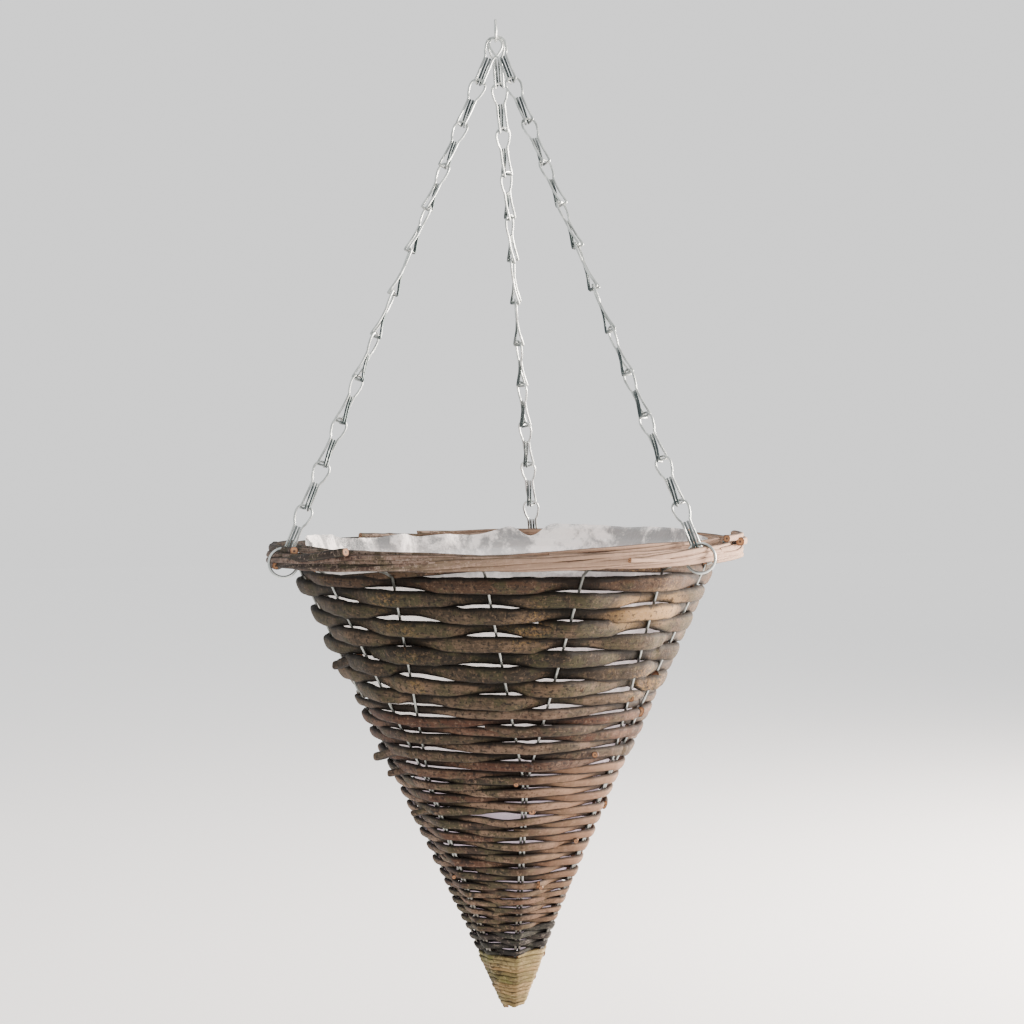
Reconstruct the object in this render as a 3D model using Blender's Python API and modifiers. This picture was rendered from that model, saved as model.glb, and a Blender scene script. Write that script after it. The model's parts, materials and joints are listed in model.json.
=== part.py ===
"""Cone hanging basket: rods woven on bent wires under a hoop, with a film liner and three wire chains.

The origin is the hang point, where a hook bears inside the top ring. Everything hangs below it, +Z up.
Depths are measured down from the rim plane, and azimuths are counted from the front (-Y) towards +X.
"""
import math

import bpy
from mathutils import Matrix, Vector

MM = 0.001
FULL_TURN = 2 * math.pi

# Overall places
RIM_DROP = 388 * MM           # hang point to the rim plane
SEAT_GAP = 0.3 * MM           # gap between pieces that touch

# Wires
HOOP_WIRE = 2.4 * MM
STAKE_WIRE = 2.0 * MM
RING_WIRE = 2.2 * MM
LINK_WIRE = 1.7 * MM

# Cone of stake wires
HOOP_RADIUS = 166 * MM
HOOP_DEPTH = 4 * MM
SHOULDER_INSET = 13 * MM      # stake wires leave the cone this far inside the hoop
SHOULDER_DROP = 10 * MM       # and this far below it
MERGE_DEPTH = 165 * MM        # where the two legs of a stake wire come together
FOOT_RADIUS = 6 * MM
FOOT_DEPTH = 343 * MM
STAKE_COUNT = 7
STAKE_TURN = math.radians(7.7)
PAIR_HALF_GAP = 1.3 * MM
STAKE_EYE_RADIUS = 4.4 * MM
ELBOW_INSET = 3.5 * MM        # where a leg turns up from the shoulder into its eye
ELBOW_DROP = 6 * MM
SHOULDER_RADIUS = HOOP_RADIUS - SHOULDER_INSET
SHOULDER_DEPTH = HOOP_DEPTH + SHOULDER_DROP
ELBOW_RADIUS = HOOP_RADIUS - ELBOW_INSET
ELBOW_DEPTH = HOOP_DEPTH + ELBOW_DROP

# Chains and rings
CHAIN_AZIMUTHS = {"left": math.radians(-68), "right": math.radians(53), "rear": math.radians(172)}
TOP_SEAT_ANGLES = {"left": math.radians(-1), "right": math.radians(-21), "rear": math.radians(27)}
RING_LEANS = {"left": math.radians(-20), "right": math.radians(25)}
LINK_COUNT = 12
HALF_TWISTS = {"left": 1, "right": 0, "rear": 1}
TOP_RING_RADIUS = 7.6 * MM
RIM_RING_RADIUS = 10.4 * MM
HOOP_IN_RING_UP = 4.6 * MM    # hoop's place in a rim ring, along the pull of the chain
HOOP_IN_RING_IN = 5.0 * MM    # and across it, towards the basket

# One chain link
LOOP_HALF_WIDTH = 5.9 * MM
LOOP_RISE = 6.5 * MM
LOOP_SQUARENESS_SHARE = 0.8
LEG_HALF_WIDTH = 3.1 * MM
RETURN_HALF_WIDTH = 1.1 * MM
HOOK_HALF_DEPTH = 3.3 * MM
HOOK_CORNER = 1.0 * MM
HOOK_SEAT = 2.5 * MM          # from the lowest bend to the middle of the wire that it carries
RING_CURVE_ROOM = 0.5 * MM    # the last hook's extra reach below a rim ring, which curves down inside it
WAIST_SHARE = 0.47            # where the folded ends come back to, of the pitch

# Woven rods: height and radial thickness, first and last pitch of the rows
THICK_ROD = (9.9 * MM, 5.6 * MM)
MIDDLE_ROD = (5.9 * MM, 4.4 * MM)
FINE_ROD = (4.1 * MM, 3.0 * MM)
TIP_ROD = (2.6 * MM, 2.3 * MM)
THICK_PITCH = 10.6 * MM
MIDDLE_PITCH = 6.6 * MM
FINE_PITCHES = (5.3 * MM, 3.9 * MM)
TIP_PITCH = 3.06 * MM
THICK_TURNS = 4               # of each of the two rods that chase each other
MIDDLE_TURNS = 7
ROUNDED_FINE_TURNS = 12       # upper turns of the fine rod that also bend between the stakes
TIP_LENGTH = 49.1 * MM        # height of the straw binding round the foot
TOP_ROW_ROOM = 0.75 * MM      # between the shoulder and the top row
ROD_END_GAP = 0.6 * MM
ROD_TIP_SHARE = 0.3           # a rod narrows to this share where its first row starts or its last row ends
TOP_ROW_DEPTH = SHOULDER_DEPTH + TOP_ROW_ROOM + THICK_ROD[0] / 2

# Outlines of the rods as shares of their thickness and height
ROUND_ROD_SHARES = ((0, 1 / 2), (1 / 2, 1 / 4), (1 / 2, -1 / 4), (0, -1 / 2), (-1 / 2, -1 / 4), (-1 / 2, 1 / 4))
SPLIT_ROD_SHARES = ((0, 1 / 2), (1 / 2, 0), (0, -1 / 2), (-1 / 2, 0))

# Border rods, placed round the hoop. They bow away from the rim rings and come to the eyes between them.
BORDER_ROD = 5.4 * MM
BORDER_WAVE = 0.9 * MM
INNER_BORDER_WAVE = 1.8 * MM
BORDER_PLACES = {             # each rod's middle outside and below the hoop's, azimuth of its cut end
    "inner_border_rod": (-6.7 * MM, -5.35 * MM, math.radians(118)),
    "outer_border_rod": (9.0 * MM, -1.7 * MM, math.radians(86)),
    "lower_border_rod": (8.2 * MM, 7.7 * MM, math.radians(-104)),
}
BORDER_END_SPLAY = 2 * MM

# Liner
LINER_THICKNESS = 0.8 * MM
LINER_RIM_INSET = 12.5 * MM   # from the hoop's middle
LINER_RIM_RISE = 9 * MM
LINER_FOLD = 3.6 * MM
LINER_FOOT_RISE = 43 * MM     # above the foot of the stake wires
LINER_EDGE_WAVE = 3.5 * MM
LINER_FOLD_COUNTS = (9, 14)
LINER_SIDES = 40
LINER_LEVELS = 7
LINER_CLEARANCE = 1.2 * MM
LINER_RIM_RADIUS = HOOP_RADIUS - LINER_RIM_INSET
LINER_FOOT_DEPTH = FOOT_DEPTH - LINER_FOOT_RISE

CONE_ANGLE = math.atan2(SHOULDER_RADIUS - FOOT_RADIUS, FOOT_DEPTH - SHOULDER_DEPTH)

COLOURS = {
    "galvanised_wire": ((0.62, 0.65, 0.65), 0.32, 1.0),
    "thick_willow": ((0.13, 0.09, 0.055), 0.75, 0.0),
    "brown_willow": ((0.20, 0.12, 0.08), 0.75, 0.0),
    "fine_willow": ((0.24, 0.14, 0.10), 0.75, 0.0),
    "straw_willow": ((0.42, 0.33, 0.19), 0.75, 0.0),
    "border_willow": ((0.16, 0.11, 0.075), 0.75, 0.0),
    "liner_film": ((0.86, 0.84, 0.84), 0.25, 0.0),
}


def make_collection(name):
    collection = bpy.data.collections.new(name)
    bpy.context.scene.collection.children.link(collection)
    return collection


def make_material(name):
    colour, roughness, metallic = COLOURS[name]
    material = bpy.data.materials.new(name)
    material.use_nodes = True
    shader = material.node_tree.nodes["Principled BSDF"]
    shader.inputs["Base Color"].default_value = (*colour, 1.0)
    shader.inputs["Roughness"].default_value = roughness
    shader.inputs["Metallic"].default_value = metallic
    return material


for old in list(bpy.data.objects):
    bpy.data.objects.remove(old)
PARTS = make_collection("cone_hanging_basket")
GUIDES = make_collection("guides")
MATERIALS = {name: make_material(name) for name in COLOURS}


def polar(radius, azimuth, depth):
    """A point by its radius, its azimuth from the front and its depth below the rim plane."""
    return Vector((radius * math.sin(azimuth), -radius * math.cos(azimuth), -RIM_DROP - depth))


def outward(azimuth):
    return Vector((math.sin(azimuth), -math.cos(azimuth), 0.0))


def wire(name, points, diameter, material, closed=False, profile=None, sizes=None):
    """A wire or rod along straight runs between its points."""
    curve = bpy.data.curves.new(name, "CURVE")
    curve.dimensions = "3D"
    spline = curve.splines.new("POLY")
    spline.points.add(len(points) - 1)
    for index, point in enumerate(points):
        spline.points[index].co = (*point, 1.0)
        spline.points[index].radius = 1.0 if sizes is None else sizes[index]
    spline.use_cyclic_u = closed
    if profile is None:
        curve.bevel_depth = diameter / 2
        curve.bevel_resolution = 1
    else:
        curve.bevel_mode = "OBJECT"
        curve.bevel_object = profile
        curve.twist_mode = "Z_UP"
    curve.use_fill_caps = not closed
    curve.materials.append(MATERIALS[material])
    piece = bpy.data.objects.new(name, curve)
    PARTS.objects.link(piece)
    return piece


def rod_profile(name, rod, corner_shares):
    """The cross-section of a woven rod, leaning with the wall of the cone."""
    height, thickness = rod
    lean = Matrix.Rotation(-CONE_ANGLE, 2)
    curve = bpy.data.curves.new(name, "CURVE")
    curve.dimensions = "2D"
    spline = curve.splines.new("POLY")
    spline.points.add(len(corner_shares) - 1)
    for index, (across, up) in enumerate(corner_shares):
        corner = lean @ Vector((across * thickness, up * height / math.cos(CONE_ANGLE)))
        spline.points[index].co = (*corner, 0.0, 1.0)
    spline.use_cyclic_u = True
    guide = bpy.data.objects.new(name, curve)
    guide.hide_render = True
    guide.display_type = "WIRE"
    GUIDES.objects.link(guide)
    return guide


# Stake wires

def stake_radius(depth):
    """Radius of the cone on which the middles of the stake wires lie."""
    share = (FOOT_DEPTH - depth) / (FOOT_DEPTH - SHOULDER_DEPTH)
    return FOOT_RADIUS + (SHOULDER_RADIUS - FOOT_RADIUS) * share


def pair_azimuth(pair):
    return STAKE_TURN + FULL_TURN * pair / STAKE_COUNT


def leg_place(pair, side, depth):
    """Middle of one leg of a stake wire: straight from the shoulder to where the two legs meet."""
    middle = pair_azimuth(pair)
    across = Vector((math.cos(middle), math.sin(middle), 0.0))
    if depth >= MERGE_DEPTH:
        return polar(stake_radius(depth), middle, depth) + across * side * PAIR_HALF_GAP
    spread = FULL_TURN / STAKE_COUNT / 4
    top = polar(stake_radius(SHOULDER_DEPTH), middle + side * spread, SHOULDER_DEPTH)
    low = polar(stake_radius(MERGE_DEPTH), middle, MERGE_DEPTH) + across * side * PAIR_HALF_GAP
    share = (depth - SHOULDER_DEPTH) / (MERGE_DEPTH - SHOULDER_DEPTH)
    return top.lerp(low, share)


def stake_eye(pair, side):
    """The leg's top, bent into an eye over the hoop, from the outside round to the inside."""
    azimuth = pair_azimuth(pair) + side * FULL_TURN / STAKE_COUNT / 4
    lift = STAKE_EYE_RADIUS - STAKE_WIRE / 2 - HOOP_WIRE / 2 - SEAT_GAP
    middle = polar(HOOP_RADIUS, azimuth, HOOP_DEPTH + lift)
    points = []
    for degrees in (-30, 20, 70, 120, 170, 210):
        angle = math.radians(degrees)
        points.append(middle + outward(azimuth) * STAKE_EYE_RADIUS * math.cos(angle)
                      + Vector((0, 0, STAKE_EYE_RADIUS * math.sin(angle))))
    return [polar(ELBOW_RADIUS, azimuth, ELBOW_DEPTH)] + points


def build_stake(pair):
    left = stake_eye(pair, -1)[::-1] + [leg_place(pair, -1, SHOULDER_DEPTH), leg_place(pair, -1, MERGE_DEPTH)]
    right = [leg_place(pair, 1, MERGE_DEPTH), leg_place(pair, 1, SHOULDER_DEPTH)] + stake_eye(pair, 1)
    foot_left = leg_place(pair, -1, FOOT_DEPTH)
    foot_right = leg_place(pair, 1, FOOT_DEPTH)
    bend = (foot_left + foot_right) / 2 - Vector((0, 0, PAIR_HALF_GAP))
    wire(f"stake_wire_{pair + 1}", left + [foot_left, bend, foot_right] + right, STAKE_WIRE, "galvanised_wire")


# Woven rods

def leg_azimuth_radius(pair, side, depth):
    place = leg_place(pair, side, depth)
    return math.atan2(place.x, -place.y), math.hypot(place.x, place.y)


def rod_offset(rod):
    """How far a rod's middle passes from the middle of a stake wire, measured level."""
    return (STAKE_WIRE / 2 + SEAT_GAP + rod[1] / 2) / math.cos(CONE_ANGLE)


def pair_offset(rod, radius, depth, runs):
    """How far a rod passes outside a pair of wires, so that its straight runs clear both of them."""
    base = rod_offset(rod)
    half_width = (leg_place(0, 1, depth) - leg_place(0, -1, depth)).length / 2 + STAKE_WIRE / 2
    span = FULL_TURN * radius / runs
    return base + half_width * (math.tan(math.pi / runs) + base / span)


def chasing_rod(name, profile, rod, start_leg, first_sign):
    """One of two rods that chase each other round the fourteen legs, over one and under the next."""
    legs = 2 * STAKE_COUNT
    pitch = 2 * THICK_PITCH
    tip = math.floor(2 * STAKE_COUNT * (1 - ROD_TIP_SHARE))
    points = []
    sizes = []
    for step in range(-tip, 2 * legs * THICK_TURNS + tip + 1):
        leg = start_leg + step / 2
        before = max(start_leg - leg, 0) / STAKE_COUNT
        after = max(leg - start_leg - legs * THICK_TURNS, 0) / STAKE_COUNT
        row = min(max((leg - start_leg) / legs, 0), THICK_TURNS)
        depth = TOP_ROW_DEPTH + pitch * row + (after - before) * rod[0] / 2
        sizes.append(1 - before - after)
        low = math.floor(leg)
        places = []
        for number in (low, math.ceil(leg)):
            pair, side = divmod(number % legs, 2)
            azimuth, radius = leg_azimuth_radius(pair, 2 * side - 1, depth)
            turn = azimuth - pair_azimuth(pair)
            turn = math.atan2(math.sin(turn), math.cos(turn))
            places.append((pair_azimuth(pair) + turn + FULL_TURN * (number // legs), radius))
        azimuth = (places[0][0] + places[1][0]) / 2
        radius = (places[0][1] + places[1][1]) / 2
        if leg == low:
            radius += rod_offset(rod) * first_sign * (1 if low % 2 == 0 else -1)
        points.append(polar(radius, azimuth, depth))
    return wire(name, points, None, "thick_willow", profile=profile, sizes=sizes)


def thick_end_depth():
    """Lowest edge of the thick rods, level all round because each of them ends in a narrow tip."""
    return TOP_ROW_DEPTH + 2 * THICK_PITCH * THICK_TURNS + THICK_ROD[0] / 2


def turn_depth(first_depth, pitches, turns, turn):
    first, last = pitches
    return first_depth + first * turn + (last - first) * turn * turn / (2 * turns)


def wound_rod(name, profile, rod, material, first_depth, pitches, turns, rounded_turns, phase):
    """A rod wound round the seven pairs of legs, in and out, or outside all of them with no phase."""
    points = []
    sizes = []
    half_run = 1 / (2 * STAKE_COUNT)
    for step in range(STAKE_COUNT * turns):
        pair = step % STAKE_COUNT
        turn = step / STAKE_COUNT
        rounded = turn < rounded_turns
        runs = 2 * STAKE_COUNT if rounded else STAKE_COUNT
        depth = turn_depth(first_depth, pitches, turns, turn)
        azimuth, radius = leg_azimuth_radius(pair, 0, depth)
        if phase is None or (step + phase) % 2 == 0:
            radius += pair_offset(rod, radius, depth, runs)
        else:
            radius -= rod_offset(rod)
        points.append(polar(radius, azimuth, depth))
        if rounded:
            depth = turn_depth(first_depth, pitches, turns, turn + half_run)
            points.append(polar(stake_radius(depth), azimuth + half_run * FULL_TURN, depth))
        size = (pitches[0] + (pitches[1] - pitches[0]) * turn / turns) / pitches[0]
        sizes += [size] * (len(points) - len(sizes))
    wire(name, points, None, material, profile=profile, sizes=sizes)
    return turn_depth(first_depth, pitches, turns, turns)


def paired_rod(name, profile, rod, material, first_depth, pitch, turns):
    """A rod that passes outside both legs of one pair and inside both legs of the next."""
    points = []
    sizes = []
    legs = 2 * STAKE_COUNT
    for leg in range(1 - math.floor(legs * (1 - ROD_TIP_SHARE)), legs * turns):
        step, side = divmod(leg, 2)
        narrow = max(-leg, 0) / legs
        depth = first_depth + pitch * max(leg, 0) / legs - narrow * rod[0] / 2
        azimuth, radius = leg_azimuth_radius(step % STAKE_COUNT, 2 * side - 1, depth)
        radius += rod_offset(rod) * (1 if step % 2 == 0 else -1)
        points.append(polar(radius, azimuth, depth))
        if side == 1:
            depth += (rod[0] / 2 if leg < 0 else pitch) / (2 * legs)
            points.append(polar(stake_radius(depth), pair_azimuth(step + 1 / 2), depth))
        sizes += [1 - narrow] * (len(points) - len(sizes))
    wire(name, points, None, material, profile=profile, sizes=sizes)
    return first_depth + pitch * turns


def build_weave():
    thick = rod_profile("thick_rod_outline", THICK_ROD, ROUND_ROD_SHARES)
    chasing_rod("thick_rod_one", thick, THICK_ROD, 0, 1)
    chasing_rod("thick_rod_two", thick, THICK_ROD, STAKE_COUNT, -1)
    middle = rod_profile("middle_rod_outline", MIDDLE_ROD, SPLIT_ROD_SHARES)
    depth = thick_end_depth() + ROD_END_GAP + MIDDLE_ROD[0] / 2
    depth = paired_rod("middle_rod", middle, MIDDLE_ROD, "brown_willow", depth, MIDDLE_PITCH, MIDDLE_TURNS)
    fine = rod_profile("fine_rod_outline", FINE_ROD, SPLIT_ROD_SHARES)
    turns = round((FOOT_DEPTH - TIP_LENGTH - depth) * 2 / sum(FINE_PITCHES))
    depth = wound_rod("fine_rod", fine, FINE_ROD, "fine_willow", depth, FINE_PITCHES, turns,
                      ROUNDED_FINE_TURNS, 1)
    tip = rod_profile("tip_rod_outline", TIP_ROD, SPLIT_ROD_SHARES)
    turns = math.floor((FOOT_DEPTH - depth) / TIP_PITCH)
    wound_rod("tip_rod", tip, TIP_ROD, "straw_willow", depth, (TIP_PITCH, TIP_PITCH), turns, 0, None)


# Border

def build_hoop():
    count = 42
    points = [polar(HOOP_RADIUS, FULL_TURN * step / count, HOOP_DEPTH) for step in range(count)]
    wire("rim_hoop", points, HOOP_WIRE, "galvanised_wire", closed=True)


def build_border(name):
    beyond, below, cut = BORDER_PLACES[name]
    radius = HOOP_RADIUS + beyond
    depth = HOOP_DEPTH + below
    inside = beyond < 0
    count = 30
    points = []
    for step in range(count + 1):
        share = step / count
        azimuth = cut + share * (FULL_TURN - 2 * BORDER_ROD / radius)
        wave = math.cos(len(CHAIN_AZIMUTHS) * (azimuth - CHAIN_AZIMUTHS["rear"]))
        splay = BORDER_END_SPLAY if share in (0.0, 1.0) and not inside else 0.0
        out = -INNER_BORDER_WAVE * wave if inside else BORDER_WAVE * (wave - 1 / 2)
        points.append(polar(radius + out + splay, azimuth, depth + out / 2))
    wire(name, points, BORDER_ROD, "border_willow")


# Chains

def pull_line(side):
    """Directions up and across a chain, with the middles of the wires that its hook and first loop hold."""
    azimuth = CHAIN_AZIMUTHS[side]
    seat = TOP_SEAT_ANGLES[side]
    ring_middle = Vector((0, 0, RING_WIRE / 2 - TOP_RING_RADIUS))
    top = ring_middle + Vector((0, TOP_RING_RADIUS * math.sin(seat), -TOP_RING_RADIUS * math.cos(seat)))
    hoop = polar(HOOP_RADIUS, azimuth, HOOP_DEPTH)
    up = (top - hoop).normalized()
    hold = hoop
    for _ in range(4):
        inward = (up.cross(outward(azimuth).cross(up))).normalized() * -1
        if side in RING_LEANS:
            hold = hoop + up * (RIM_RING_RADIUS - HOOP_IN_RING_UP) - inward * HOOP_IN_RING_IN
        up = (top - hold).normalized()
    return up, inward, hold, top


def link_points(pitch, seat):
    """Half of a link from the middle of its loop: the loop, a leg, the hook and the end folded back."""
    points = []
    for degrees in (30, 60, 90):
        angle = math.radians(degrees)
        across = LOOP_HALF_WIDTH * math.sin(angle) ** LOOP_SQUARENESS_SHARE
        fall = LOOP_RISE * (1 - max(math.cos(angle), 0.0) ** LOOP_SQUARENESS_SHARE)
        points.append(Vector((across, 0, -fall)))
    lowest = -pitch - seat
    leg_foot = Vector((LEG_HALF_WIDTH, -HOOK_HALF_DEPTH, lowest))
    end_foot = Vector((RETURN_HALF_WIDTH, HOOK_HALF_DEPTH, lowest))
    along = (end_foot - leg_foot).normalized() * HOOK_CORNER
    rise = Vector((0, 0, HOOK_CORNER))
    points.append(Vector((LEG_HALF_WIDTH, 0, -WAIST_SHARE * pitch)))
    points += [leg_foot + rise, leg_foot + along, end_foot - along, end_foot + rise]
    points.append(Vector((RETURN_HALF_WIDTH, 0, -WAIST_SHARE * pitch)))
    return points


def build_chain(side):
    up, inward, hold, top = pull_line(side)
    first = top + up * (RING_WIRE / 2 + LINK_WIRE / 2 + SEAT_GAP)
    pitch = (first - hold).length / LINK_COUNT
    held = LINK_WIRE / 2 + SEAT_GAP
    if side in RING_LEANS:
        last_across = Matrix.Rotation(RING_LEANS[side], 3, up) @ inward
        last_seat = held + RING_WIRE / 2 + RING_CURVE_ROOM
        build_ring(f"{side}_rim_ring", RIM_RING_RADIUS, 16, hold - up * RIM_RING_RADIUS, last_across, up)
    else:
        last_across = up.cross(inward)
        last_seat = held + HOOP_WIRE / 2
    first_across = (Vector((0, 1, 0)).cross(up)).normalized()
    turn = math.atan2(first_across.cross(last_across).dot(up), first_across.dot(last_across))
    total = turn + math.pi * HALF_TWISTS[side] * (1 if turn < 0 else -1)
    for number in range(LINK_COUNT):
        twist = total * number / (LINK_COUNT - 1)
        across = Matrix.Rotation(twist, 3, up) @ first_across
        frame = Matrix((across, up.cross(across), up)).transposed().to_4x4()
        frame.translation = first - up * pitch * number
        seat = last_seat if number == LINK_COUNT - 1 else HOOK_SEAT
        half = link_points(pitch, seat)
        mirrored = [Vector((-point.x, point.y, point.z)) for point in half]
        link = wire(f"{side}_chain_link_{number + 1:02d}", mirrored[::-1] + [Vector((0, 0, 0))] + half,
                    LINK_WIRE, "galvanised_wire")
        link.matrix_world = frame


def build_ring(name, radius, count, middle, across, up):
    points = []
    for step in range(count):
        angle = FULL_TURN * (step + 1 / 2) / count
        points.append(Vector((radius * math.cos(angle), 0, radius * math.sin(angle))))
    ring = wire(name, points, RING_WIRE, "galvanised_wire", closed=True)
    frame = Matrix((across, up.cross(across), up)).transposed().to_4x4()
    frame.translation = middle
    ring.matrix_world = frame


# Liner

def weave_inner_radius(depth):
    """Free radius inside the woven rods, where their straight runs come closest to the middle."""
    middle_end = thick_end_depth() + MIDDLE_PITCH * (MIDDLE_TURNS + 1)
    runs = 2 * STAKE_COUNT
    rod = THICK_ROD if depth < thick_end_depth() else MIDDLE_ROD if depth < middle_end else FINE_ROD
    return stake_radius(depth) * math.cos(math.pi / runs) - rod_offset(rod) - rod[1] / 2


def build_liner():
    levels = []
    for level in range(LINER_LEVELS + 1):
        share = level / LINER_LEVELS
        depth = LINER_FOOT_DEPTH * share ** 1.15 - LINER_RIM_RISE * (1 - share)
        if level == 0:
            radius = LINER_RIM_RADIUS
        else:
            radius = weave_inner_radius(depth) - LINER_CLEARANCE
        levels.append((depth, radius))
    vertices = []
    for depth, radius in levels:
        fade = radius / LINER_RIM_RADIUS
        for side in range(LINER_SIDES):
            azimuth = FULL_TURN * side / LINER_SIDES
            fold = (math.sin(LINER_FOLD_COUNTS[0] * azimuth) + math.sin(LINER_FOLD_COUNTS[1] * azimuth + 1)) / 4
            here = radius - LINER_FOLD * fade * (1 / 2 + fold)
            lift = LINER_EDGE_WAVE * fold if depth == levels[0][0] else 0.0
            vertices.append(polar(here, azimuth, depth - lift))
    vertices.append(polar(0, 0, levels[-1][0] + LINER_FOLD))
    foot = len(vertices) - 1
    faces = []
    for level in range(LINER_LEVELS):
        for side in range(LINER_SIDES):
            here = level * LINER_SIDES + side
            beside = level * LINER_SIDES + (side + 1) % LINER_SIDES
            faces.append((here, here + LINER_SIDES, beside + LINER_SIDES, beside))
    for side in range(LINER_SIDES):
        last = LINER_LEVELS * LINER_SIDES
        faces.append((last + side, foot, last + (side + 1) % LINER_SIDES))
    mesh = bpy.data.meshes.new("film_liner")
    mesh.from_pydata(vertices, [], faces)
    mesh.materials.append(MATERIALS["liner_film"])
    liner = bpy.data.objects.new("film_liner", mesh)
    PARTS.objects.link(liner)
    shell = liner.modifiers.new("film", "SOLIDIFY")
    shell.thickness = LINER_THICKNESS
    shell.offset = -1


build_ring("top_ring", TOP_RING_RADIUS, 16, Vector((0, 0, RING_WIRE / 2 - TOP_RING_RADIUS)),
           Vector((0, 1, 0)), Vector((0, 0, 1)))
for chain_side in CHAIN_AZIMUTHS:
    build_chain(chain_side)
build_hoop()
for stake_pair in range(STAKE_COUNT):
    build_stake(stake_pair)
build_weave()
for border_name in BORDER_PLACES:
    build_border(border_name)
build_liner()
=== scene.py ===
# %% [markdown]
# # A cone hanging basket
#
# Willow rods are woven round seven bent wires that hang from a wire hoop. A bundle of thin rods hides the
# hoop, a crumpled film closes the cone, and three chains of bent wire links meet in a small ring. The packed
# model already has each piece at its place. Here each one gets the shape and the finish that the eye expects.

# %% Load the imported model
import json
import math

import bpy
import numpy as np
from mathutils import Matrix, Vector

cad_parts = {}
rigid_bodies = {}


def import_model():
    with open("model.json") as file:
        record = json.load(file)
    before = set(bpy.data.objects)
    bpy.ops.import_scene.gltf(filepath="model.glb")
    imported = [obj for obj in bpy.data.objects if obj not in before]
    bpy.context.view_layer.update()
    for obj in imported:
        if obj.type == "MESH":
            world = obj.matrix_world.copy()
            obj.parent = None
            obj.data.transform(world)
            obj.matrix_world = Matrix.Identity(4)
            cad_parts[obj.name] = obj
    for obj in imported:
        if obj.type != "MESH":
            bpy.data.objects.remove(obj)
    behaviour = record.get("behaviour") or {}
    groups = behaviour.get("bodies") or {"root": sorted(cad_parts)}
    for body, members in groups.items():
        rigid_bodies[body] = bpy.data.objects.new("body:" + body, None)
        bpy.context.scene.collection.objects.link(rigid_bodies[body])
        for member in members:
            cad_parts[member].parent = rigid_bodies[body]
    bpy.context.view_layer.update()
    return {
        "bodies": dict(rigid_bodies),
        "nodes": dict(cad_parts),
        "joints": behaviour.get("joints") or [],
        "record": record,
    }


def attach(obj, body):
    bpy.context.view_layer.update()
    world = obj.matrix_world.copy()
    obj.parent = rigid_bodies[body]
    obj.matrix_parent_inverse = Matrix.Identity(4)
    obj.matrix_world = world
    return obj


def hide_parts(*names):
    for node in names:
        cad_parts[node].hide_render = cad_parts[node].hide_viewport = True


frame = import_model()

# %% [markdown]
# The basket has few driving sizes. The origin is the point where a hook bears in the top ring. Depths are
# measured down from the rim, and azimuths are counted from the front of the basket towards its right.

# %% Sizes of the basket
MM = 0.001
FULL_TURN = 2 * math.pi
RIM_DROP = 388 * MM
SEAT_GAP = 0.3 * MM
HOOP_WIRE = 2.4 * MM
STAKE_WIRE = 2.0 * MM
RING_WIRE = 2.2 * MM
LINK_WIRE = 1.7 * MM
HOOP_RADIUS = 166 * MM
HOOP_DEPTH = 4 * MM
SHOULDER_RADIUS = 153 * MM
SHOULDER_DEPTH = 14 * MM
MERGE_DEPTH = 165 * MM
FOOT_RADIUS = 6 * MM
FOOT_DEPTH = 343 * MM
STAKE_COUNT = 7
LEG_COUNT = 2 * STAKE_COUNT
STAKE_TURN = math.radians(7.7)
PAIR_HALF_GAP = 1.3 * MM
CONE_ANGLE = math.atan2(SHOULDER_RADIUS - FOOT_RADIUS, FOOT_DEPTH - SHOULDER_DEPTH)


def on_cone(radius, azimuth, depth):
    """Points by radius, azimuth and depth, one in each row."""
    radius, azimuth, depth = np.broadcast_arrays(radius, azimuth, depth)
    return np.stack([radius * np.sin(azimuth), -radius * np.cos(azimuth), -RIM_DROP - depth], axis=-1)


def outwards(azimuth):
    """Level directions away from the cone's axis, one in each row."""
    return np.stack([np.sin(azimuth), -np.cos(azimuth), 0 * azimuth], axis=-1)


def shown(name, data):
    """Puts a mesh, a lamp or a camera into the scene under a name."""
    made = bpy.data.objects.new(name, data)
    bpy.context.scene.collection.objects.link(made)
    return made


print("cone angle", round(math.degrees(CONE_ANGLE), 1), "degrees")

# %% [markdown]
# ## Shader sums
#
# A finish is easier to read as a sum than as a picture of nodes. This small class wraps one output of a node,
# so that an expression such as `1 - dust * 0.5` adds the Math nodes by itself. Colours never pass through a
# Math node, which would turn them grey: they are blended with a Mix node instead.

# %% One output of a node, ready for sums
class Shade:
    """A value or colour that varies over a surface. A sum on values adds its Math nodes."""

    def __init__(self, finish, socket):
        self.finish = finish
        self.socket = socket

    def _sum(self, operation, first, second):
        return self.finish.node("Math", {"operation": operation}, {0: first, 1: second})

    def __add__(self, other):
        return self._sum("ADD", self, other)

    def __sub__(self, other):
        return self._sum("SUBTRACT", self, other)

    def __rsub__(self, other):
        return self._sum("SUBTRACT", other, self)

    def __mul__(self, other):
        return self._sum("MULTIPLY", self, other)

    __radd__ = __add__
    __rmul__ = __mul__


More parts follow.
